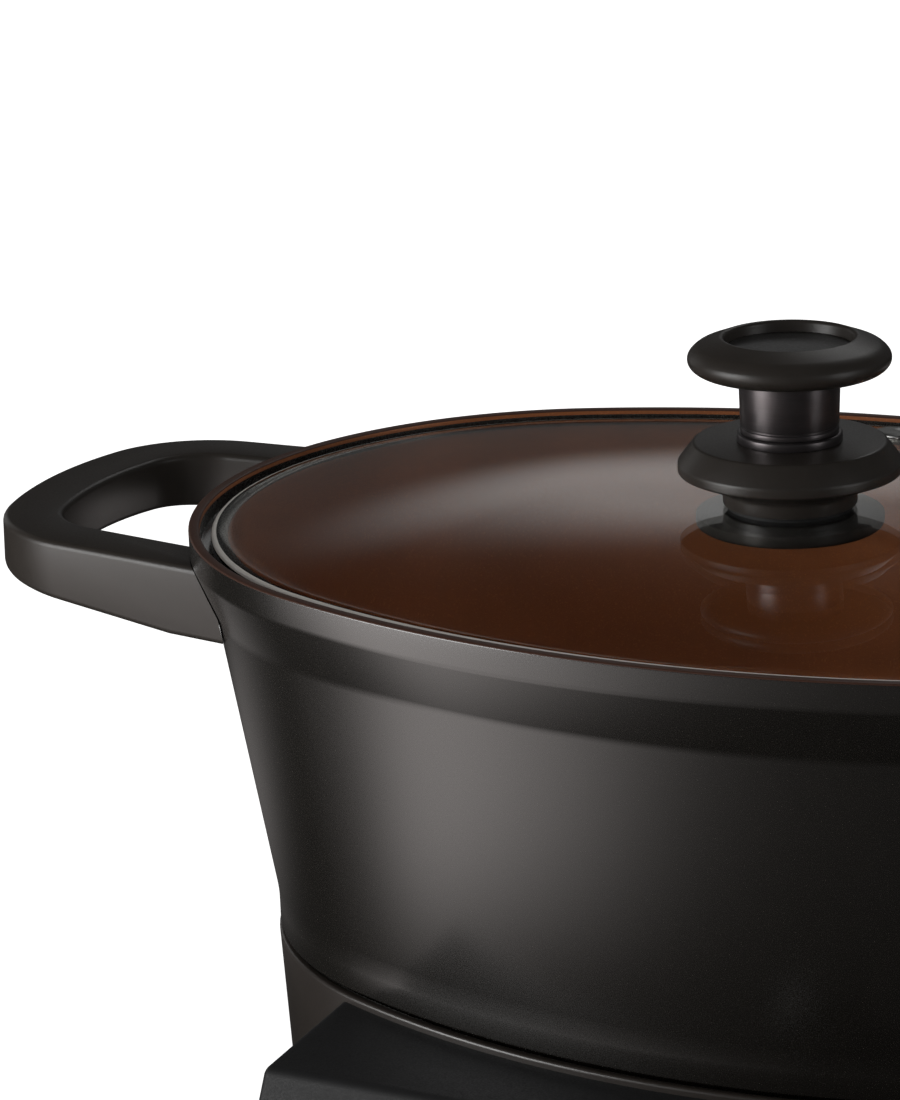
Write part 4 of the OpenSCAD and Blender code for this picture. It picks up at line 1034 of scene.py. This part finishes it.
farther = add(
    paper,
    "ShaderNodeMapRange",
    {"interpolation_type": "SMOOTHSTEP", "From Min": 0.34, "From Max": 0.55, "To Min": 1.0, "To Max": 1.3},
    [("Value", middle.outputs["Value"])],
)
reach_light = add(
    paper,
    "ShaderNodeMath",
    {"operation": "MULTIPLY"},
    [(0, clear_of_pot.outputs["Result"]), (1, farther.outputs["Result"])],
)
painted_patch_light = add(
    paper,
    "ShaderNodeMath",
    {"operation": "MULTIPLY"},
    [(0, fan.outputs["Color"]), (1, reach_light.outputs["Value"])],
).outputs["Value"]
# The small painted patches, glows seen only in reflections: the middle on the table, the reach, and the
# brightness, which fades out to the edge.
for x, y, reach, level in (
    (0.46, 0.0, 0.3, 0.9),
    (0.2, 0.5, 0.35, 0.9),
    (0.05, 0.34, 0.25, 0.9),
    (-0.36, 0.12, 0.2, 0.15),
):
    gap = add(paper, "ShaderNodeVectorMath", {"operation": "DISTANCE", 1: (x, y, 0)}, [(0, place)])
    painted_patch = add(
        paper,
        "ShaderNodeMapRange",
        {"interpolation_type": "SMOOTHERSTEP", "From Max": reach, "To Min": level, "To Max": 0.0},
        [("Value", gap.outputs["Value"])],
    )
    both = add(
        paper, "ShaderNodeMath", {"operation": "ADD"}, [(0, painted_patch_light), (1, painted_patch.outputs["Result"])]
    )
    painted_patch_light = both.outputs["Value"]
painted_patch_seen = add(
    paper, "ShaderNodeMath", {"operation": "MULTIPLY"}, [(0, painted_patch_light), (1, rays["Is Glossy Ray"])]
)
shine = add(
    paper,
    "ShaderNodeMath",
    {"operation": "ADD"},
    [(0, lit.outputs["Value"]), (1, painted_patch_seen.outputs["Value"])],
)
# The painted patches are a little warm.
cast = add(
    paper,
    "ShaderNodeMix",
    {"data_type": "RGBA", 6: (1, 1, 1, 1), 7: (1, 0.93, 0.91, 1)},
    [("Factor", rays["Is Glossy Ray"])],
)
paper.node_tree.links.new(cast.outputs[2], surface.inputs["Emission Color"])
paper.node_tree.links.new(shine.outputs["Value"], surface.inputs["Emission Strength"])
floor.data.materials.append(paper)

world = bpy.data.worlds.new("white surround")
bpy.context.scene.world = world
world.use_nodes = True
backdrop = world.node_tree.nodes["Background"]
backdrop.inputs["Color"].default_value = (1, 1, 1, 1)
toward = add(world, "ShaderNodeTexCoord", {}).outputs["Generated"]
# The surround is a little lighter near the table. One glow stands behind, 14 degrees up: it reaches
# 16 degrees along and 7 across, and is tilted by 41.
bearing, lift, tilt = math.radians(111.9), math.radians(14.35), math.radians(40.7)
glow_long, glow_short = math.radians(16.5), math.radians(6.9)
east = Vector((-math.sin(bearing), math.cos(bearing), 0))
north = Vector((-math.cos(bearing) * math.sin(lift), -math.sin(bearing) * math.sin(lift), math.cos(lift)))
across = (east * math.cos(tilt) + north * math.sin(tilt)) / math.sin(glow_long)
up = (north * math.cos(tilt) - east * math.sin(tilt)) / math.sin(glow_short)
off_middle = [
    add(world, "ShaderNodeVectorMath", {"operation": "DOT_PRODUCT", 1: way}, [(0, toward)]).outputs["Value"]
    for way in (across, up)
]
aside = add(world, "ShaderNodeCombineXYZ", {}, [("X", off_middle[0]), ("Y", off_middle[1])])
away = add(world, "ShaderNodeVectorMath", {"operation": "LENGTH"}, [(0, aside.outputs["Vector"])])
glow = add(
    world,
    "ShaderNodeMapRange",
    {"interpolation_type": "SMOOTHERSTEP", "To Min": 0.39, "To Max": 0.0},
    [("Value", away.outputs["Value"])],
)
height = add(world, "ShaderNodeSeparateXYZ", {}, [("Vector", toward)])
dim = add(
    world,
    "ShaderNodeMapRange",
    {"interpolation_type": "SMOOTHSTEP", "From Min": 0.3, "From Max": 0.5, "To Min": 0.0445, "To Max": 0.008},
    [("Value", height.outputs["Z"])],
)
soft_glow = add(
    world, "ShaderNodeMath", {"operation": "ADD"}, [(0, glow.outputs["Result"]), (1, dim.outputs["Result"])]
)
# Matte surfaces get an even light from all round.
spread = add(world, "ShaderNodeLightPath", {}).outputs["Is Diffuse Ray"]
even_light = add(
    world,
    "ShaderNodeMath",
    {"operation": "MULTIPLY_ADD", 1: 0.3},
    [(0, spread), (2, soft_glow.outputs["Value"])],
)
level = add(
    world,
    "ShaderNodeMix",
    {"data_type": "FLOAT", 3: 1.0},
    [(0, straight_view(world)), (2, even_light.outputs["Value"])],
)
world.node_tree.links.new(level.outputs[0], backdrop.inputs["Strength"])

# The lamps: where each stands, its width and height in metres, and its power. All look at the pot.
aim = Vector((0, pot_y, 0.13))
for name, spot, width, height, watts in (
    ("front left softbox", (-0.74, -0.68, 0.36), 0.5, 0.5, 6.0),
    ("left strip", (-0.95, 0.5, 0.34), 0.25, 0.6, 0.2),
    ("right fill", (1.0, -0.12, 0.4), 0.3, 0.7, 1.3),
    ("back", (-0.03, 0.985, 1.0), 0.5, 0.5, 1.0),
):
    data = bpy.data.lights.new(name, "AREA")
    data.shape = "RECTANGLE"
    data.size, data.size_y, data.energy = width, height, watts
    lamp = bpy.data.objects.new(name, data)
    bpy.context.scene.collection.objects.link(lamp)
    lamp.location = spot
    lamp.rotation_euler = (aim - Vector(spot)).to_track_quat("-Z", "Y").to_euler()


# Camera: a long lens from the front right, a little above the lid, with the pot's left half in view.
# Its place was solved from the rim, the knob and the handle in the photograph, roll included.
lens = bpy.data.cameras.new("photo view")
lens.lens = 112.991
lens.sensor_width = 36
lens.clip_start, lens.clip_end = 0.05, 50
camera = bpy.data.objects.new("photo view", lens)
bpy.context.scene.collection.objects.link(camera)
camera.location = (0.288607, -0.772270, 0.426009)
camera.rotation_euler = [math.radians(a) for a in (73.08856, 1.96193, 25.30599)]
bpy.context.scene.camera = camera
bpy.context.scene.view_settings.view_transform = "Standard"
